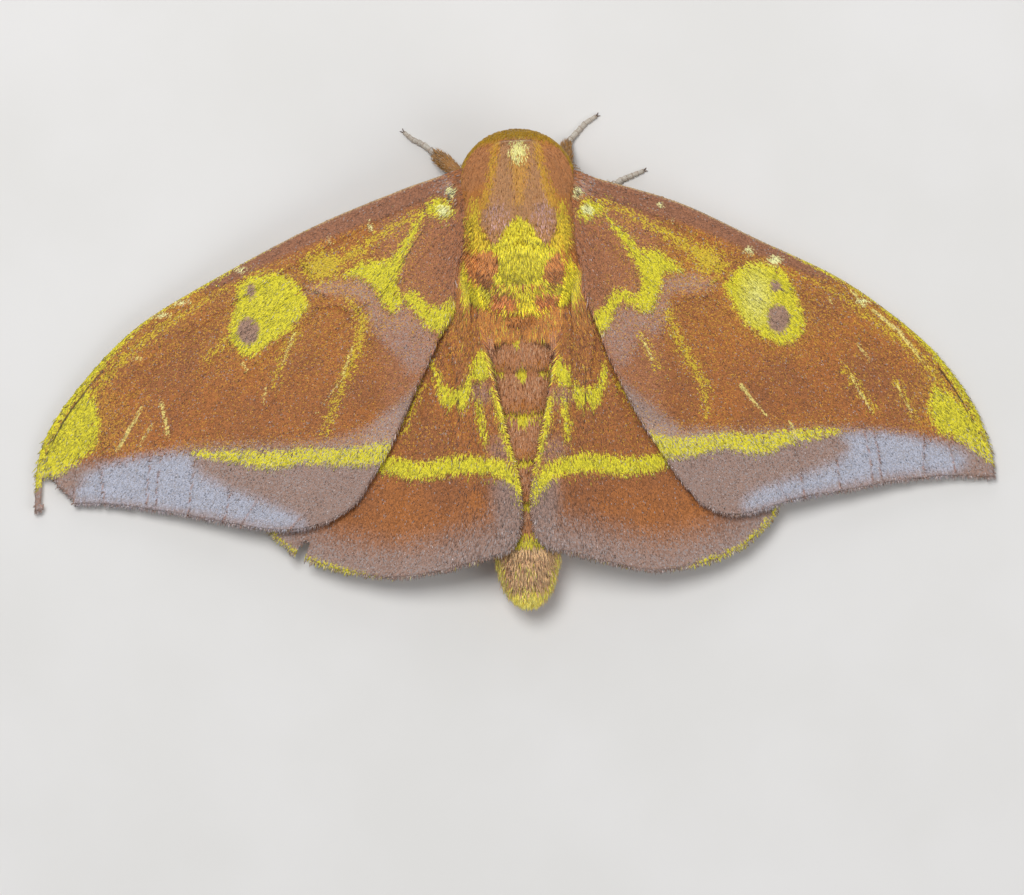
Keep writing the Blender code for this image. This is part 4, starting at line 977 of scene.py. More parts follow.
def build_skin():
    """Thorax, collar, head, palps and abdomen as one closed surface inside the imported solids."""
    shrink = COAT_DEPTH
    parts = [
        loft(THORAX, THORAX_WAIST, np.linspace(22.1, 2.6, 90), 96, thorax_relief, shrink),
        loft(ABDOMEN, ABDOMEN_WAIST, np.linspace(5.0, -32.3, 200), 72, abdomen_relief, ABDOMEN_COAT_DEPTH),
        ellipsoid(HEAD_CENTRE, HEAD_RADII, shrink * 0.7),
        ellipsoid(COLLAR_CENTRE, COLLAR_RADII, 0.12),
        ellipsoid(WAIST_CENTRE, WAIST_RADII, 0.0),
    ]
    for _, mirror in SIDES:
        radii = np.interp(np.linspace(0, 3, 14), range(4), PALP_RADII) * 0.8
        parts.append(tube(smooth_curve(mirrored(PALP_ROUTE, mirror), 14), radii, 14))
    points, groups = joined(parts)
    skin = make_object("body_skin", points, groups, SKIN)
    remesh = skin.modifiers.new("fuse", "REMESH")
    remesh.mode = "VOXEL"
    remesh.voxel_size = SKIN_VOXEL * MM
    even = skin.modifiers.new("even", "SMOOTH")
    even.factor = 0.5
    even.iterations = 9
    graph = bpy.context.evaluated_depsgraph_get()
    fused = bpy.data.meshes.new_from_object(skin.evaluated_get(graph))
    skin.modifiers.clear()
    skin.data = fused
    fused.materials.clear()
    fused.materials.append(SKIN)
    fused.shade_smooth()
    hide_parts("thorax", "collar", "head", "abdomen", "palp_left", "palp_right")
    return skin


def surface(mesh):
    """Triangles of a mesh in millimetres in the body's frame, their unit normals and areas."""
    mesh.calc_loop_triangles()
    triangles = np.empty(len(mesh.loop_triangles) * 3, np.int32)
    mesh.loop_triangles.foreach_get("vertices", triangles)
    triangles = to_body(read_points(mesh))[triangles.reshape(-1, 3)]
    cross = np.cross(triangles[:, 1] - triangles[:, 0], triangles[:, 2] - triangles[:, 0])
    length = np.linalg.norm(cross, axis=1)
    return triangles, cross / length[:, None], length / 2


def scatter(triangles, normals, weights, count, rng):
    """Random places on triangles, more where the weights are greater."""
    chosen = rng.choice(len(triangles), count, p=weights / weights.sum())
    a, b = rng.random((2, count, 1))
    flip = (a + b) > 1
    a, b = np.where(flip, 1 - a, a), np.where(flip, 1 - b, b)
    t = triangles[chosen]
    return t[:, 0] + a * (t[:, 1] - t[:, 0]) + b * (t[:, 2] - t[:, 0]), normals[chosen]


ROOT_DEPTH = 0.12
TUFT_FACES = ([(0, 1, 4, 3), (1, 2, 5, 4), (2, 0, 3, 5)], [(3, 4, 6), (4, 5, 6), (5, 3, 6), (2, 1, 0)])
TUFT_PATCH = np.array([(-1, -1.5), (1, -1.5), (0, -1.2), (-1.5, 0), (1.5, 0), (0, 0.3), (0, 1.5)]) * 0.001
VANE_FACES = ([(0, 1, 3, 2)], [(0, 2, 4), (2, 3, 4), (3, 1, 4), (1, 0, 4)])
VANE_PATCH = np.array([(0, -1.5), (-1.5, 0), (1.5, 0), (0, 1.5), (0, 0.2)]) * 0.001
# Painted shade: how much lighter each point is than the whole, from root to tip, darkest at the root, where the hairs
# and scales over it shade it.
TUFT_PAINTED_SHADE = (0.75, 0.75, 0.75, 0.97, 0.97, 1.0, 1.1)
VANE_PAINTED_SHADE = (0.85, 1, 1, 1.08, 1)


def veer(ways, out, amount, rng):
    """Directions turned a little to either side along the surface."""
    return unit(ways + np.cross(out, ways) * rng.normal(0, amount, len(ways))[:, None])


def tilt_up(ways, out, rise):
    """Directions raised from the surface by angles."""
    return unit(ways * np.cos(rise) + out * np.sin(rise))


def spread(name, points, shape_faces, patch, colours, painted_shade, places, material, slot):
    """One coat piece out of many small solids, with the colours and the bake map of their roots."""
    count, each = points.shape[:2]
    starts = (np.arange(count) * each)[:, None, None]
    groups = [(np.array(faces)[None] + starts).reshape(-1, len(faces[0])) for faces in shape_faces]
    obj = make_object(name, points.reshape(-1, 3), groups, material)
    # Painted shade along each tuft or scale, darkest at its root.
    tinted = colours[:, None] * np.array(painted_shade)[None, :, None]
    put_coat(obj, tinted.reshape(-1, 3))
    spots = (places[:, None] + patch[None]).reshape(-1, 2)
    layer = obj.data.uv_layers.new(name="OFBake")
    corner = np.concatenate([group.ravel() for group in groups])
    layer.uv.foreach_set("vector", spots[corner].astype(np.float32).ravel())
    return obj


def add_tufts(name, roots, ways, normals, lengths, widths, colours, places, curl, slot="coat",
              depth=ROOT_DEPTH):
    """Hair-like scales: bent solid spikes that lie along the coat, rooted a little below the surface."""
    side = unit(np.cross(ways, normals))
    lift = np.cross(side, ways)
    long, wide = lengths[:, None], widths[:, None]
    base = roots - normals * depth
    middle = base + ways * long * 0.5
    tip = base + ways * long + (normals * -0.12 + side * curl[:, None]) * long
    points = np.stack([
        base - side * wide * 0.3, base + side * wide * 0.3, base + lift * wide * 0.3,
        middle - side * wide * 0.5, middle + side * wide * 0.5, middle + lift * wide * 0.45, tip], axis=1)
    return spread(name, points, TUFT_FACES, TUFT_PATCH, colours, TUFT_PAINTED_SHADE, places, COAT, slot)


# ---- colours of the body

BODY_COLOURS = {
    "yellow_hair": ((212, 190, 50), (198, 164, 48)), "mauve": ((178, 120, 70), (166, 110, 66)),
    "scutum": ((180, 132, 86), (170, 124, 82)), "ochre": ((198, 150, 64), (186, 132, 66)),
    "seam": ((198, 158, 46), (186, 130, 50)), "cream": ((232, 228, 160), (218, 208, 120)),
    "yellow": ((216, 205, 48), (204, 188, 44)), "rust": ((198, 134, 70), (184, 120, 66)),
    "side": ((184, 124, 58), (168, 106, 50)), "ring": ((186, 130, 84), (174, 120, 84)),
    "ring_edge": ((188, 126, 62), (176, 114, 56)), "ring_frost": ((200, 158, 122), (188, 144, 110)),
    "ring_side": ((194, 140, 62), (178, 114, 56)), "tail": ((208, 174, 130), (192, 158, 112)),
    "tail_edge": ((222, 212, 112), (206, 190, 74)), "collar": ((150, 114, 4), (166, 128, 6)),
    "face": ((176, 122, 62), (162, 104, 66)), "belly": ((206, 160, 92), (190, 142, 84)),
    "belly_line": ((176, 112, 82), (166, 104, 76)), "lilac": ((198, 160, 152), (186, 144, 132)),
}
WAIST_Y = 2.4  # where the thorax ends and the abdomen begins
SCUTUM_END = 12.0
BACK_LEVEL = 6.4  # the back's marks lie above this height, and the face below it
EYE_RIM = 0.15  # bare skin round the eyes
RING_ENDS = np.array([WAIST_Y, -0.6, -4.5, -9.5, -15.1, -20.2, -24.9, -25.9, -30.9, -33.5])
SCUTUM_OUTLINE = next(outline for kind, _, outline in BACK_MARKS if kind == "scutum")
REAR_LOBES = [(-2.6, 13.4, 2.2, 3.0), (2.9, 13.4, 2.2, 3.0)]
BODY_LIGHT = 1.62  # hairs shade one another, so their own colour is lighter than the coat's
SIDE_LIGHT = 0.45  # and more so on the steep sides of the rump
TAIL_LIGHT = 0.3  # and at the tail's end
SLEEK_DIMMING = 0.27  # where hairs lie flat they shade one another less


def body_paint(points, normals, rng):
    """Colour of the coat at places on the body, each hair a little different."""
    x, y, z = points.T
    count = len(points)
    blend = rng.random(count)[:, None]
    jitter = rng.normal(0, 0.16, count)
    colour = np.zeros((count, 3))

    def paint(kind, where):
        a, b = (rgb(c) for c in BODY_COLOURS[kind])
        colour[where] = (a + (b - a) * blend)[where]

    top = (normals[:, 2] > -0.1) & (z > BACK_LEVEL)
    on_abdomen = y < WAIST_Y
    paint("side", np.ones(count, bool))
    ring = np.clip(np.searchsorted(-RING_ENDS, -y) - 1, 0, len(RING_ENDS) - 2)
    share = (RING_ENDS[ring] - y) / (RING_ENDS[ring] - RING_ENDS[ring + 1]) + 0.5 * jitter
    paint("ring", on_abdomen)
    paint("ring_frost", on_abdomen & (np.abs(share - 0.35) < 0.25) & (rng.random(count) < 0.2))
    paint("ring_edge", on_abdomen & ((share > 0.84) | (y > -0.6)))
    paint("yellow", on_abdomen & ((y < -8.0) | (np.abs(x) > 2.0)) & (y < -3.8) & (share < 0.13 + 0.2 * jitter))
    paint("ring_side", on_abdomen & (np.abs(x) + jitter > 4.0))
    paint("yellow", (y < -24.0 + jitter) & (y > -25.0))
    paint("tail", y < -25.0)
    paint("ring_frost", (y < -26.0) & (rng.random(count) < 0.25))
    tail_width = np.interp(-y, [26, 29, 31.0, 32.5], [3.1, 2.5, 1.5, 0.2])
    paint("tail_edge", (y < -26.0) & ((np.abs(x) + 2.5 * jitter > tail_width) | (y < -30.3 + 2.5 * jitter)))
    paint("tail_edge", (y < -27.0) & (x < 0.8) & (x > -1.6) & (rng.random(count) < 0.2))
    paint("yellow", (spot_distance(DORSAL_DOTS, x, y) + 0.5 * jitter > 0) & on_abdomen)
    for kind, soft, outline in BACK_MARKS:
        paint(kind, (blob_distance([outline], x, y) + soft * rng.normal(0, 0.8, count) > 0) & top)
    hair = spot_distance(YELLOW_HAIR, x, y) * 1.4 > rng.random(count) + 0.15
    in_scutum = blob_distance([SCUTUM_OUTLINE], x, y)
    paint("yellow_hair", top & hair & (in_scutum < 0.1))
    paint("cream", top & (spot_distance(CREAM_HAIR, x, y) > 0.9 * rng.random(count) + 0.1))
    paint("seam", (stroke_distance(BACK_SEAMS, x, y) + 0.3 * rng.normal(0, 0.8, count) > 0) & top & (y > 14.5))
    rear_lobes = spot_distance(REAR_LOBES, x, y)
    paint("lilac", top & (in_scutum > 0.25) & (rear_lobes > 3.6 * rng.random(count) + 0.15))
    rim = np.hypot(x / COLLAR_RADII[0], (y - COLLAR_CENTRE[1]) / COLLAR_RADII[1])
    paint("collar", ((y > 22.6 - 0.035 * x * x + 1.2 * jitter) | ((rim > 0.93) & (y > 18.0))) & (z > 4.6))
    face = (z < BACK_LEVEL) & (y > 18.0) & (y < 22.5)
    paint("face", face | ((z < 6.6) & (np.abs(x) < 1.5) & (y > 20.0)))
    below = (normals[:, 2] < -0.15) & ~face & (y < 20.5)
    paint("belly", below)
    paint("belly_line", below & (np.abs(np.abs(x) - 2.2) < 0.5 + jitter) & on_abdomen)
    light = BODY_LIGHT * (1 + SIDE_LIGHT * np.maximum(step(np.abs(x), 4.2, 6.2), step(6.0 - y, 0.0, 3.0))
                          * step(y, 1.5, 3.0) * step(10.5 - y, 0.0, 2.0) + TAIL_LIGHT * step(-y, 29.5, 31.5))
    return colour * (light * np.clip(1 + rng.normal(0, 0.08, count), 0.6, 1.4))[:, None]


def body_lie(points, normals):
    """The way the coat lies: backwards, and outwards from the middle of the back."""
    x, y, z = points.T
    spread = 0.05 + 0.12 * step(11.0 - y, 0, 4) * step(y, 2.0, 3.0)
    way = np.stack([spread * x, np.full(len(x), -1.0), np.where(z > 8, -0.05, 0.1)], axis=1)
    front = step(y, 21.0, 23.0)[:, None]
    way = way * (1 - front) + np.stack([0.10 * x, np.full(len(x), -0.5), np.full(len(x), 0.6)], axis=1) * front
    way[:, 0] += 0.06 * x * step(-y, 24.0, 26.5)
    flat = way - normals * np.sum(way * normals, axis=1, keepdims=True)
    short = np.linalg.norm(flat, axis=1, keepdims=True)
    return np.where(short < 0.25, unit(flat + way * 0.5), unit(flat))


def body_place(points):
    """Place on the unwrap of the body: angle round it, and way along it."""
    x, y, z = points.T
    middle = np.where(y > WAIST_Y, 8.6, 4.8)
    return np.stack([np.arctan2(x, z - middle) / (2 * math.pi) + 0.5, (y + 34) / 60], axis=1)


def body_length(points, normals):
    """Length of the coat in millimetres, shortest on the face."""
    x, y, z = points.T
    sides = step(np.abs(x), 4.2, 5.8) * step(17.5 - y, 0.0, 3.0)
    length = 0.95 + 0.9 * np.maximum(sides, step(11.8 - y, 0.0, 4.0)) + 0.5 * step(5.0 - y, 0, 2)
    length = length - 0.25 * step(y, 19.5, 21.0)
    length = np.where(y <= WAIST_Y, 1.1, length)
    length = np.where((normals[:, 2] < -0.3) & (y < 20.5), 1.4, length)
    length = np.where(y < -24.5, 1.8 - 0.5 * step(-y, 30.0, 32.5), length)
    return np.where((z < 8.0) & (y > 18.2) & (np.abs(x) < 4.2), 0.7, length)


def build_body_coat(skin):
    triangles, normals, areas = surface(skin.data)
    centre = triangles.mean(axis=1)
    eye_gap = np.linalg.norm(np.column_stack([np.abs(centre[:, 0]), centre[:, 1:]]) - EYE_CENTRE, axis=1)
    open_skin = eye_gap > EYE_RADIUS + EYE_RIM
    y, z = centre[:, 1], centre[:, 2]
    face = (y > 18.2) & (z < 8.0) & (np.abs(centre[:, 0]) < 4.4)
    thorax = (y > WAIST_Y) & ~face
    abdomen = ~thorax & ~face
    top = normals[:, 2] > 0.15
    scutum = y > SCUTUM_END
    # Each piece of the coat: where it grows, how many tufts it has, and their width.
    zones = (("coat_scutum", thorax & top & scutum, 15500, 0.12), ("coat_rump", thorax & top & ~scutum, 11500, 0.13),
             ("coat_flanks", thorax & ~top, 8500, 0.17), ("coat_face", face, 5000, 0.08),
             ("coat_rings", abdomen & top, 12500, 0.13), ("coat_belly", abdomen & ~top, 7000, 0.15))
    for number, (name, zone, count, width) in enumerate(zones):
        rng = np.random.default_rng(100 + number)
        roots, out = scatter(triangles, normals, areas * (zone & open_skin), count, rng)
        way = veer(body_lie(roots, out), out, 0.13, rng)
        tail = step(-roots[:, 1], 24.2, 26.4)
        rump = step(11.0 - roots[:, 1], 0, 5) * step(roots[:, 1], 2.0, 3.0)
        sleek = np.maximum(step(roots[:, 1], 11.0, 14.0), step(2.0 - roots[:, 1], 0, 3) * (1 - tail))
        rise = np.radians(rng.uniform(4, 14, count) * (1 - 0.5 * sleek) + 22 * tail + 7 * rump)[:, None]
        way = tilt_up(way, out, rise)
        lengths = body_length(roots, out) * rng.uniform(0.7, 1.25, count)
        widths = width * rng.uniform(0.7, 1.2, count)
        sleek = sleek[:, None]
        colours = body_paint(roots, out, rng) * (1 - SLEEK_DIMMING * sleek)
        add_tufts(name, roots, way, out, lengths, widths, colours, body_place(roots), rng.normal(0, 0.08, count),
                  depth=ROOT_DEPTH * (1 - 0.6 * sleek))


# ---- long hair and fringes

# Long hair by where it is rooted: x, y, count, length, outward lean and fall.
MANE = {
    "wing root": ((4.4, 8.6), (-3.5, 3.4), 2400, 2.5, 0.10, 0.0),
    "wing edge": ((0.05, 0.7), (-10.0, 4.0), 1700, 1.9, -0.70, -0.36),
    "gap": ((0.0, 1.0), (-1.5, 10.5), 2600, 2.2, 0.20, -0.13),
    "waist": ((0.1, 5.0), (-0.8, 3.4), 1600, 1.6, 0.04, -0.20),
    "waist side": ((3.2, 5.3), (-4.6, 1.5), 1100, 1.5, 0.0, -0.12),
}
MANE_WIDTH = 0.12
MANE_TINTS = rgb((190, 128, 56)), rgb((166, 108, 50))
MANE_GOLD = rgb((200, 172, 58))
ARM_HAIR = [(6.2, 6.1, 0.72, 2.6)]  # where hair in the gap is yellow, beside the arms of the rump's mark
ARM_TINT = rgb((210, 192, 46))
# Hair on the thorax's sides that lies out over the wings: y, angle from the top, count, length, outward lean.
RUFF = ((2.6, 14.0), (50, 80), 2400, 1.7, 0.55)


def mane_height(kind, x, y, chance):
    """Height of the roots: on the hindwing, up to the forewing in the gap between them, or over the waist."""
    if kind.startswith("waist"):
        sunk = 0.8 * (kind == "waist side") * (1 - step(x, 3.4, 4.6)) * step(-1.0 - y, 0.0, 2.5)
        return 8.5 + 0.8 * step(y, -1.0, 3.5) + 0.2 * chance - sunk
    raised = 0.12 + (1.1 * step(y, -1.5, 6.0) * (0.7 + 0.3 * chance) if kind == "gap" else 0.0)
    return wing_height("hindwing", x, y, 0.5) + raised


def build_mane(side, mirror):
    """Long hair from the hind end of the thorax and the wing roots, back over the hindwing and the abdomen."""
    rng = np.random.default_rng(41 if mirror > 0 else 42)
    rows = []
    inner = np.array(HINDWING[side]["inner"])[::-1]
    outer = np.array(FOREWING[side]["inner"])[::-1]
    for kind, (across, (back, front), count, length, outward, fall) in MANE.items():
        x, y = rng.uniform(*across, count), rng.uniform(back, front, count)
        edge = np.interp(y, inner[:, 1], inner[:, 0])
        if kind == "gap":
            x = 6.0 + x * (np.interp(y, outer[:, 1], outer[:, 0]) - 5.7)
        elif kind == "waist side":
            x = np.maximum(x, rng.uniform(*across, count))
        elif kind == "wing edge":
            x = edge + x
        elif kind == "wing root":
            x = np.where(y < WAIST_Y, np.maximum(x, edge + 0.1), x)
        roots = np.stack([x * mirror, y, mane_height(kind, x, y, rng.random(count))], axis=1)
        out = unit(np.stack([0.25 * mirror * np.ones(count), np.zeros(count), np.ones(count)], axis=1))
        lean = rng.normal(outward, 0.11, count)
        way = unit(np.stack([lean * mirror, -np.ones(count), fall + rng.uniform(-0.08, 0.08, count)], axis=1))
        blend = rng.random(count)[:, None]
        tint = MANE_TINTS[0] * (1 - blend) + MANE_TINTS[1] * blend
        gold = (rng.random(count) < 0.12)[:, None]
        # Painted light: the tints below are made lighter than the hair's own colour, most over the waist, against the
        # shade that the hairs cast on one another.
        tint = np.where(gold, MANE_GOLD, tint) * (1.6 if kind.startswith("waist") else 1.35)
        if kind == "gap":
            beside = spot_distance(ARM_HAIR, x, y) + rng.normal(0, 0.12, count) > 0
            tint = np.where(beside[:, None], ARM_TINT * rng.uniform(1.15, 1.6, count)[:, None], tint)
        if kind == "wing edge":
            hind = next(wing for wing in wings if wing["name"] == f"hindwing_{side}")
            tint = wing_colour(pattern(hind, x * mirror, y), np.zeros(count, bool), rng) * 1.6
        if kind == "waist side":
            tint = body_paint(roots - (0.0, 0.5, 0.0), np.tile((0.0, 0.0, 1.0), (count, 1)), rng)
        long = length * rng.uniform(0.6, 1.2, count) * (1 - 0.4 * step(-3.0 - y, 0.0, 5.0))
        rows.append((roots, way, out, long, tint))
    (back, front), angles, count, length, outward = RUFF
    y, angle = rng.uniform(back, front, count), np.radians(rng.uniform(*angles, count))
    half, low, high = between(THORAX, y).T
    waist = low + (high - low) * THORAX_WAIST
    x, z = (half - COAT_DEPTH) * np.sin(angle), waist + (high - waist - COAT_DEPTH) * np.cos(angle)
    roots = np.stack([x * mirror, y, z], axis=1)
    out = unit(np.stack([np.sin(angle) * mirror, np.zeros(count), np.cos(angle)], axis=1))
    lean = rng.normal(outward, 0.15, count) * step(y, 1.0, 4.0)
    way = unit(np.stack([lean * mirror, -np.ones(count), rng.uniform(-0.2, 0.0, count)], axis=1) + out * 0.25)
    long = length * rng.uniform(0.6, 1.2, count) * (1 - 0.35 * step(y, 9.0, 12.0))
    tint = body_paint(roots + (0, 0, 1), np.tile((0.0, 0.0, 1.0), (count, 1)), rng)
    rows.append((roots, way, out, long, tint))
    roots, way, out, lengths, tint = stacked(rows)
    widths, curl = np.full(len(roots), MANE_WIDTH), rng.normal(0, 0.06, len(roots))
    add_tufts(f"mane_{side}", roots, way, out, lengths, widths, tint, body_place(roots), curl)


def lie_of_scales(wing, points):
    """Scales point away from the wing's root and bend towards its margin."""
    mirror = wing["mirror"]
    hinge = np.array([2.0 * mirror, 17.0] if wing["label"] == "forewing" else [4.0 * mirror, 11.0])
    away = unit(points[:, :2] - hinge)
    flat = 0.6 * away + np.array([0.05 * mirror, -0.4])
    return np.column_stack([flat, np.zeros(len(points))])


def wing_place(points):
    """Place on the unwrap of the wings, which is their plan."""
    return np.stack([(points[:, 0] + 60) / 122, (points[:, 1] + 31) / 56], axis=1)


SCALE_COUNTS = {"forewing": (19000, 5500), "hindwing": (12000, 4500)}


def build_scales(wing):
    """Overlapping scales on both faces of a wing, longer and narrower near its root and in the yellow marks."""
    triangles, normals, areas = surface(wing["object"].data)
    for below in (False, True):
        rng = np.random.default_rng(60 + 10 * below + len(wing["name"]))
        count = SCALE_COUNTS[wing["label"]][below]
        facing = normals[:, 2] < -0.5 if below else normals[:, 2] > 0.5
        roots, out = scatter(triangles, normals, areas * facing, count, rng)
        marks = pattern(wing, roots[:, 0], roots[:, 1])
        colours = wing_colour(marks, np.full(count, below), rng)
        way = lie_of_scales(wing, roots)
        way = veer(unit(way - out * np.sum(way * out, axis=1, keepdims=True)), out, 0.12, rng)
        way = tilt_up(way, out, np.radians(rng.uniform(1, 6, count))[:, None])
        side = unit(np.cross(way, out))
        hairy = np.clip(step(marks["yellow"], -0.4, 0.3) + step(12.0 - np.abs(roots[:, 0]), 0, 6), 0, 1)
        long = ((0.42 + 0.4 * hairy) * rng.uniform(0.75, 1.25, count))[:, None]
        wide = ((0.19 - 0.07 * hairy) * rng.uniform(0.8, 1.2, count))[:, None]
        base = roots - out * 0.03
        points = np.stack([base, base + way * long * 0.6 - side * wide / 2, base + way * long * 0.6 + side * wide / 2,
                           base + way * long, base + way * long * 0.55 + out * 0.03], axis=1)
        suffix = "_below" if below else ""
        spread(f"scales_{wing['name']}{suffix}", points, VANE_FACES, VANE_PATCH, colours * 1.06, VANE_PAINTED_SHADE,
               wing_place(roots), COAT, "wing")


def edge_normals(curve, inside):
    """Unit vectors across a curve in the plan, away from a point inside."""
    along = unit(np.gradient(curve, axis=0))
    across = np.column_stack([along[:, 1], -along[:, 0]])
    turned = np.sum(across * (curve - inside), axis=1) < 0
    across[turned] *= -1
    return along, across


# Each wing's fringes: edge, count, length, droop, and how much lighter than the scales, as hairs shade one another.
FRINGES = {"forewing": (("margin", 900, 0.75, 0.0, 1.35), ("costa", 600, 0.35, 0.0, 1.3),
                        ("inner", 1300, 1.1, 0.2, 1.6)),
           "hindwing": (("margin", 1000, 0.7, 0.0, 1.35), ("inner", 1000, 0.8, 0.35, 1.7))}
FRINGE_WIDTH = 0.085


def build_fringe(wing):
    """Fine hair along the edges of a wing, leaning along them."""
    rng = np.random.default_rng(80 + len(wing["name"]))
    fore = wing["label"] == "forewing"
    inside = np.array([30.0 * wing["mirror"], -6.0] if fore else [15.0 * wing["mirror"], -14.0])
    rows = []
    for edge, count, length, drop, light in FRINGES[wing["label"]]:
        curve = wing["edges"][edge]
        share = np.sort(rng.random(count))
        spot = read_curve(curve, share)
        along, across = edge_normals(curve, inside)
        across = unit(read_curve(across, share))
        lean = read_curve(along, share) * rng.normal(0, 0.25, count)[:, None]
        if edge == "margin":
            lean = lean + lie_of_scales(wing, np.column_stack([spot, np.zeros(count)]))[:, :2] * 0.5
        if edge == "inner":
            lean = lean + read_curve(along, share) * (2.4 if fore else 0.9)
        if edge == "costa":
            lean = lean + read_curve(along, share) * 1.6
        flat = unit(across + lean)
        root = spot - across * rng.uniform(0.05, 0.35, count)[:, None]
        gone = blob_distance([TORN_TIP, MARGIN_BITE], root[:, 0], root[:, 1]) > -0.05
        z = wing_height(wing["name"], root[:, 0], root[:, 1], 0.0 if edge == "costa" else 1.0) + 0.12
        roots = np.column_stack([root, z + rng.uniform(-0.06, 0.08, count)])
        way = unit(np.column_stack([flat, rng.normal(-0.03, 0.05, count) - drop]))
        marks = pattern(wing, root[:, 0], root[:, 1])
        tint = wing_colour(marks, np.zeros(count, bool), rng)
        near_root = 1 + 0.8 * (edge == "inner") * fore * step(0.38 - share, 0, 0.25)
        long = length * near_root * rng.uniform(0.5, 1.2, count)
        rows.append([values[~gone] for values in (roots, way, np.tile((0.0, 0.0, 1.0), (count, 1)), long,
                                                  np.full(count, FRINGE_WIDTH), tint * light)])
    columns = stacked(rows)
    roots = columns[0]
    add_tufts(f"fringe_{wing['name']}", *columns, wing_place(roots), rng.normal(0, 0.05, len(roots)), slot="wing")


def paint_skin(skin):
    points, normals = to_body(read_points(skin.data)), read_points(skin.data, "normal")
    put_coat(skin, body_paint(points, normals, np.random.default_rng(7)))


# ---- eyes, feelers and legs

FACET_DEPTH = 0.02
FACET_REACH = 0.04  # as a share of the eye's radius


def build_eye(side, mirror):
    """A ball of small round facets."""
    centre = np.array(EYE_CENTRE) * (mirror, 1, 1)
    coarse, fine = bmesh.new(), bmesh.new()
    bmesh.ops.create_icosphere(coarse, subdivisions=5, radius=1.0)
    bmesh.ops.create_icosphere(fine, subdivisions=6, radius=1.0)
    tree = KDTree(len(coarse.verts))
    for v in coarse.verts:
        tree.insert(v.co, v.index)
    tree.balance()
    points = np.array([v.co for v in fine.verts])
    near = np.array([tree.find(v.co)[2] for v in fine.verts])
    faces = np.array([[v.index for v in f.verts] for f in fine.faces])
    coarse.free()
    fine.free()
    radius = EYE_RADIUS - FACET_DEPTH * np.minimum(1, (near / FACET_REACH) ** 2)
    obj = make_object(f"dressed_eye_{side}", centre + points * radius[:, None], [faces], EYE)
    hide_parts(f"eye_{side}")


ANTENNA_STATIONS = 180
ANTENNA_RINGS = 34
ANTENNA_RAYS = 30
SHAFT_RADII = ([0, 0.1, 0.3, 0.7, 1], [0.34, 0.24, 0.21, 0.17, 0.09])  # share of the length, and radius
RAY_LENGTH = 2.1
RAY_STATIONS = 7
FEELER_TINT = rgb((184, 146, 84))


def build_antenna(side, mirror):
    """A ringed shaft with two rows of long curved rays, shorter towards both ends, each with fine side hairs."""
    route = smooth_curve(mirrored(ANTENNA_ROUTE, mirror), ANTENNA_STATIONS)
    share = np.linspace(0, 1, ANTENNA_STATIONS)
    shaft = np.interp(share, *SHAFT_RADII)
    shaft = shaft * (1 + 0.12 * np.sin(share * 2 * math.pi * ANTENNA_RINGS) ** 3)
    parts = [tube(route, shaft, 12)]
    along, side_way, _ = frames(route)
    t = np.linspace(0, 1, RAY_STATIONS)[:, None]
    for i in range(ANTENNA_RAYS):
        at = 0.16 + 0.8 * i / (ANTENNA_RAYS - 1)
        k = int(at * (ANTENNA_STATIONS - 1))
        length = RAY_LENGTH * np.sin(math.pi * (i + 3.2) / (ANTENNA_RAYS + 4.0)) ** 0.7
        for hand in (-1, 1):
            flat = np.array([along[k, 1], -along[k, 0], 0.0]) * hand
            turn = RAY_LEAN + 0.2 - 0.55 * t
            way = along[k] * np.cos(turn) + unit(flat) * np.sin(turn) - np.array([0, 0, 0.18]) * t
            points = route[k] + np.cumsum(way, axis=0) * length / RAY_STATIONS
            parts.append(tube(points, np.linspace(0.085, 0.03, RAY_STATIONS), 6))
            for j in range(1, RAY_STATIONS - 1):
                for tick in (-1, 1):
                    root = points[j]
                    fine = np.cross(way[j], (0, 0, 1.0)) * tick * 0.24 + way[j] * 0.14
                    parts.append(tube([root, root + fine * 0.5, root + fine], [0.026, 0.02, 0.008], 3))
    points, groups = joined(parts)
    obj = make_object(f"dressed_antenna_{side}", points, groups, FEELER)
    put_coat(obj, FEELER_TINT * np.ones((len(points), 1)))
    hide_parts(f"antenna_{side}")


LEG_STATIONS = 16  # for each bone
LEG_PROFILE = (0.8, 0.55, 0.46, 0.38, 0.35, 0.32, 0.22)
LEG_SWELL = (0.0, 0.25, 0.4, 0.0, 0.0, 0.0)
LEG_SIDES = 16
FIRST_FOOT_BONE = 3
FOOT_RINGS = 2  # joints of the foot for each of its bones
CLAW_STATIONS = 7
BONE_TINT, JOINT_TINT, CLAW_TINT = rgb((176, 128, 74)), rgb((168, 150, 134)), rgb((96, 66, 44))
LEG_HAIR_TINT, FOOT_HAIR_TINT = rgb((172, 122, 50)), rgb((198, 188, 170))
# Hair of each bone: count and length.
LEG_HAIR = ((100, 0.8), (480, 1.15), (520, 1.15), (60, 0.35), (40, 0.28), (30, 0.22))


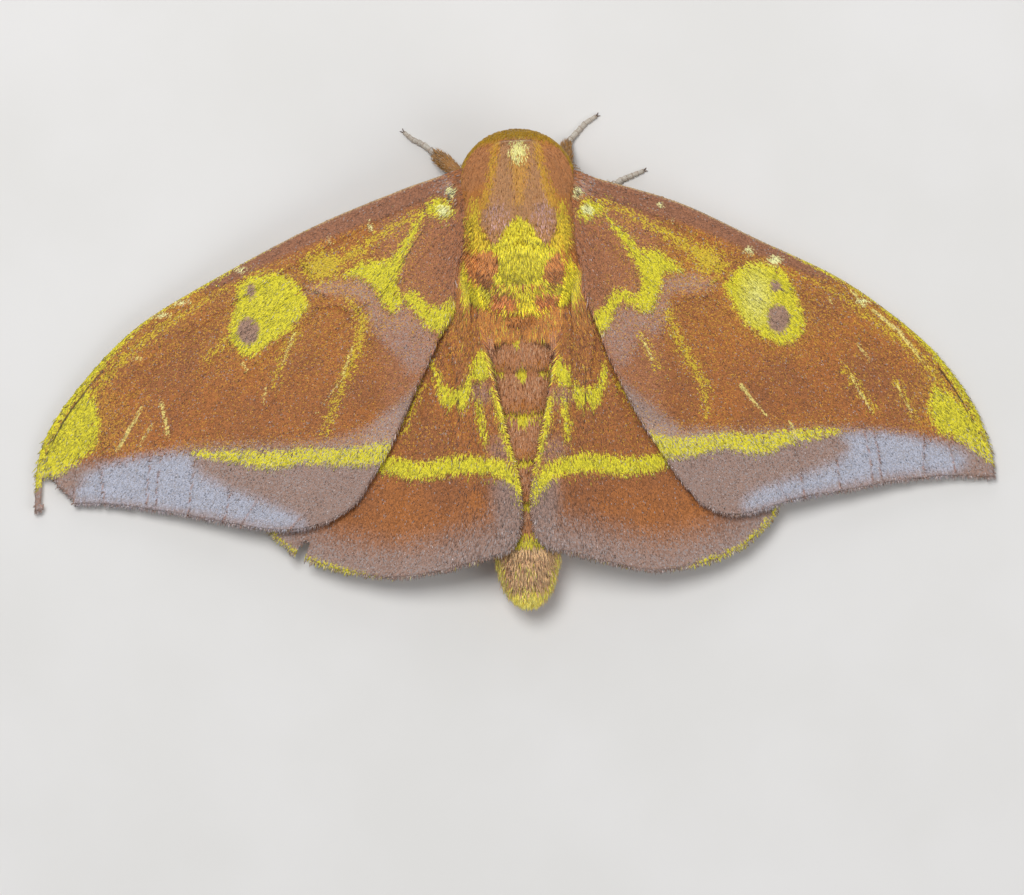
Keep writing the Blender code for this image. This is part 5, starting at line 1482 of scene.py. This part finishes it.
def build_leg(name, joints):
    """A leg as one tube along its bones, ringed on the foot, with two claws."""
    joints = np.array(joints)
    points, radii, colours = [], [], []
    for i, (a, b) in enumerate(zip(joints, joints[1:])):
        t = np.linspace(0, 1, LEG_STATIONS, endpoint=i == len(joints) - 2)
        points.append(a + (b - a) * t[:, None])
        radius = LEG_PROFILE[i] + (LEG_PROFILE[i + 1] - LEG_PROFILE[i]) * t + LEG_SWELL[i] * np.sin(math.pi * t)
        tint = BONE_TINT * np.ones((len(t), 1))
        if i >= FIRST_FOOT_BONE:
            phase = (t * FOOT_RINGS) % 1
            radius = radius * (0.78 + 0.34 * phase ** 0.6)
            tint = np.where((phase > 0.8)[:, None], JOINT_TINT, rgb(PALE_FOOT))
        radii.append(radius)
        colours.append(tint)
    points, radii, colours = np.vstack(points), np.concatenate(radii), np.vstack(colours)
    for _ in range(2):
        points[1:-1] = (points[:-2] + 2 * points[1:-1] + points[2:]) / 4
    parts = [tube(points, radii, LEG_SIDES)]
    end, heading = joints[-1], unit(joints[-1] - joints[-2])
    across = np.array([heading[1], -heading[0], 0.0])
    t = np.linspace(0, 1, CLAW_STATIONS)[:, None]
    for hand in (-1, 1):
        claw = end + heading * 0.42 * np.sin(t * 1.8) + across * hand * (0.07 + 0.2 * t)
        parts.append(tube(claw - np.array([0, 0, 0.12]) * t ** 2, np.linspace(0.075, 0.015, CLAW_STATIONS), 8))
    body, groups = joined(parts)
    tints = np.vstack([colours.repeat(LEG_SIDES, axis=0), colours[:1], colours[-1:],
                       CLAW_TINT * np.ones((len(body) - len(points) * LEG_SIDES - 2, 1))])
    body[:, 2] = np.maximum(body[:, 2], 0.0)
    obj = make_object(f"dressed_{name}", body, groups, FOOT)
    put_coat(obj, tints)
    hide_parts(name)
    return points, radii


def build_leg_coat(paths):
    """Ochre hair on thighs and shins, and short pale hair on the feet, cut short where it would reach the floor."""
    rng = np.random.default_rng(31)
    rows = []
    for number, (points, radii) in enumerate(paths):
        along, side, up = frames(points)
        for bone, (count, length) in enumerate(LEG_HAIR):
            on_foot = bone >= FIRST_FOOT_BONE
            at = bone * LEG_STATIONS + rng.random(count) * (LEG_STATIONS - 1)
            k = np.clip(at.astype(int), 0, len(points) - 2)
            turn = rng.random(count) * 2 * math.pi
            out = np.cos(turn)[:, None] * side[k] + np.sin(turn)[:, None] * up[k]
            middle = points[k] + (points[k + 1] - points[k]) * (at - k)[:, None]
            root = middle + out * radii[k][:, None]
            keep = root[:, 2] > 0.12
            rise = np.radians(rng.uniform(10, 26, count))[:, None]
            way = unit(along[k] * np.cos(rise) + out * np.sin(rise) + rng.normal(0, 0.07, (count, 3)))
            reach = length * rng.uniform(0.6, 1.2, count)
            room = (root[:, 2] - 0.05) / np.maximum(-way[:, 2], 0.02) * 0.8
            reach = np.minimum(reach, np.maximum(np.where(way[:, 2] < -0.02, room, np.inf), 0.05))
            tint = FOOT_HAIR_TINT if on_foot else LEG_HAIR_TINT
            tint = tint * np.clip(1 + rng.normal(0, 0.14, count), 0.6, 1.4)[:, None]
            place = np.stack([(number + turn / (2 * math.pi)) / len(paths), at / len(points)], axis=1)
            width = np.full(count, 0.05 if on_foot else 0.1)
            rows.append([values[keep] for values in (root, way, out, reach, width, tint, place)])
    columns = stacked(rows)
    add_tufts("coat_legs", *columns, np.zeros(len(columns[0])), slot="leg")


skin = build_skin()
paint_skin(skin)
build_body_coat(skin)
for side, mirror in SIDES:
    build_eye(side, mirror)
    build_antenna(side, mirror)
    build_mane(side, mirror)
for wing in wings:
    build_scales(wing)
    build_fringe(wing)
build_leg_coat([build_leg(name, joints) for name, joints in LEGS.items()])


# ---- floor, light and camera

PHOTO_SCALE = 0.1188  # millimetres of the wings for each pixel of the 1024 x 895 frame
VIEW_CENTRE = (-1.5, -13.9)
VIEW_ROLL = math.radians(-1.6)
CAMERA_HEIGHT = 0.6
WING_LEVEL = 0.005
FRAME_WIDTH = 1024
SENSOR_WIDTH = 36.0
FLOOR_REACH = 3.0
# Each lamp: name, place, width and power.
LAMPS = (("key", (-0.14, 0.24, 0.66), 0.34, 3.5), ("fill", (0.45, -0.25, 0.45), 0.5, 1.0),
         ("front", (-0.05, 0.6, 0.25), 0.4, 0.6))


def build_stage():
    sh = Shader("pale_floor", Roughness=0.85, Specular_IOR_Level=0.2)
    tone = sh.noise(sh.place(), 40.0, 4.0)
    sh.colour(sh.mix(sh.ramp(tone, 0.3, 0.7), (222, 220, 216), (226, 224, 221)))
    mesh = bpy.data.meshes.new("floor")
    corners = [(x * FLOOR_REACH, y * FLOOR_REACH, 0) for x, y in ((-1, -1), (1, -1), (1, 1), (-1, 1))]
    mesh.from_pydata(corners, [], [(0, 1, 2, 3)])
    mesh.materials.append(sh.material)
    floor = bpy.data.objects.new("floor", mesh)
    bpy.context.scene.collection.objects.link(floor)


def add_light(name, place, size, power):
    data = bpy.data.lights.new(name, "AREA")
    data.shape = "DISK"
    data.size = size
    data.energy = power
    lamp = bpy.data.objects.new(name, data)
    lamp.location = place
    lamp.rotation_mode = "QUATERNION"
    lamp.rotation_quaternion = (-Vector(place)).to_track_quat("-Z", "Y")
    lamp.visible_camera = False
    bpy.context.scene.collection.objects.link(lamp)


def build_camera():
    data = bpy.data.cameras.new("camera")
    data.sensor_width = SENSOR_WIDTH
    data.lens = SENSOR_WIDTH * (CAMERA_HEIGHT - WING_LEVEL) / (FRAME_WIDTH * PHOTO_SCALE * MM)
    data.clip_start = 0.01
    camera = bpy.data.objects.new("camera", data)
    x, y, _ = to_world([*VIEW_CENTRE, 0.0])
    camera.location = (x, y, CAMERA_HEIGHT)
    camera.rotation_euler = (0.0, 0.0, VIEW_ROLL)
    bpy.context.scene.collection.objects.link(camera)
    bpy.context.scene.camera = camera


build_stage()
for lamp in LAMPS:
    add_light(*lamp)
world = bpy.data.worlds.new("studio")
world.use_nodes = True
sky = world.node_tree.nodes["Background"].inputs
sky["Color"].default_value = (0.9, 0.93, 1.0, 1.0)
sky["Strength"].default_value = 0.3
bpy.context.scene.world = world
bpy.context.scene.view_settings.view_transform = "Standard"
build_camera()
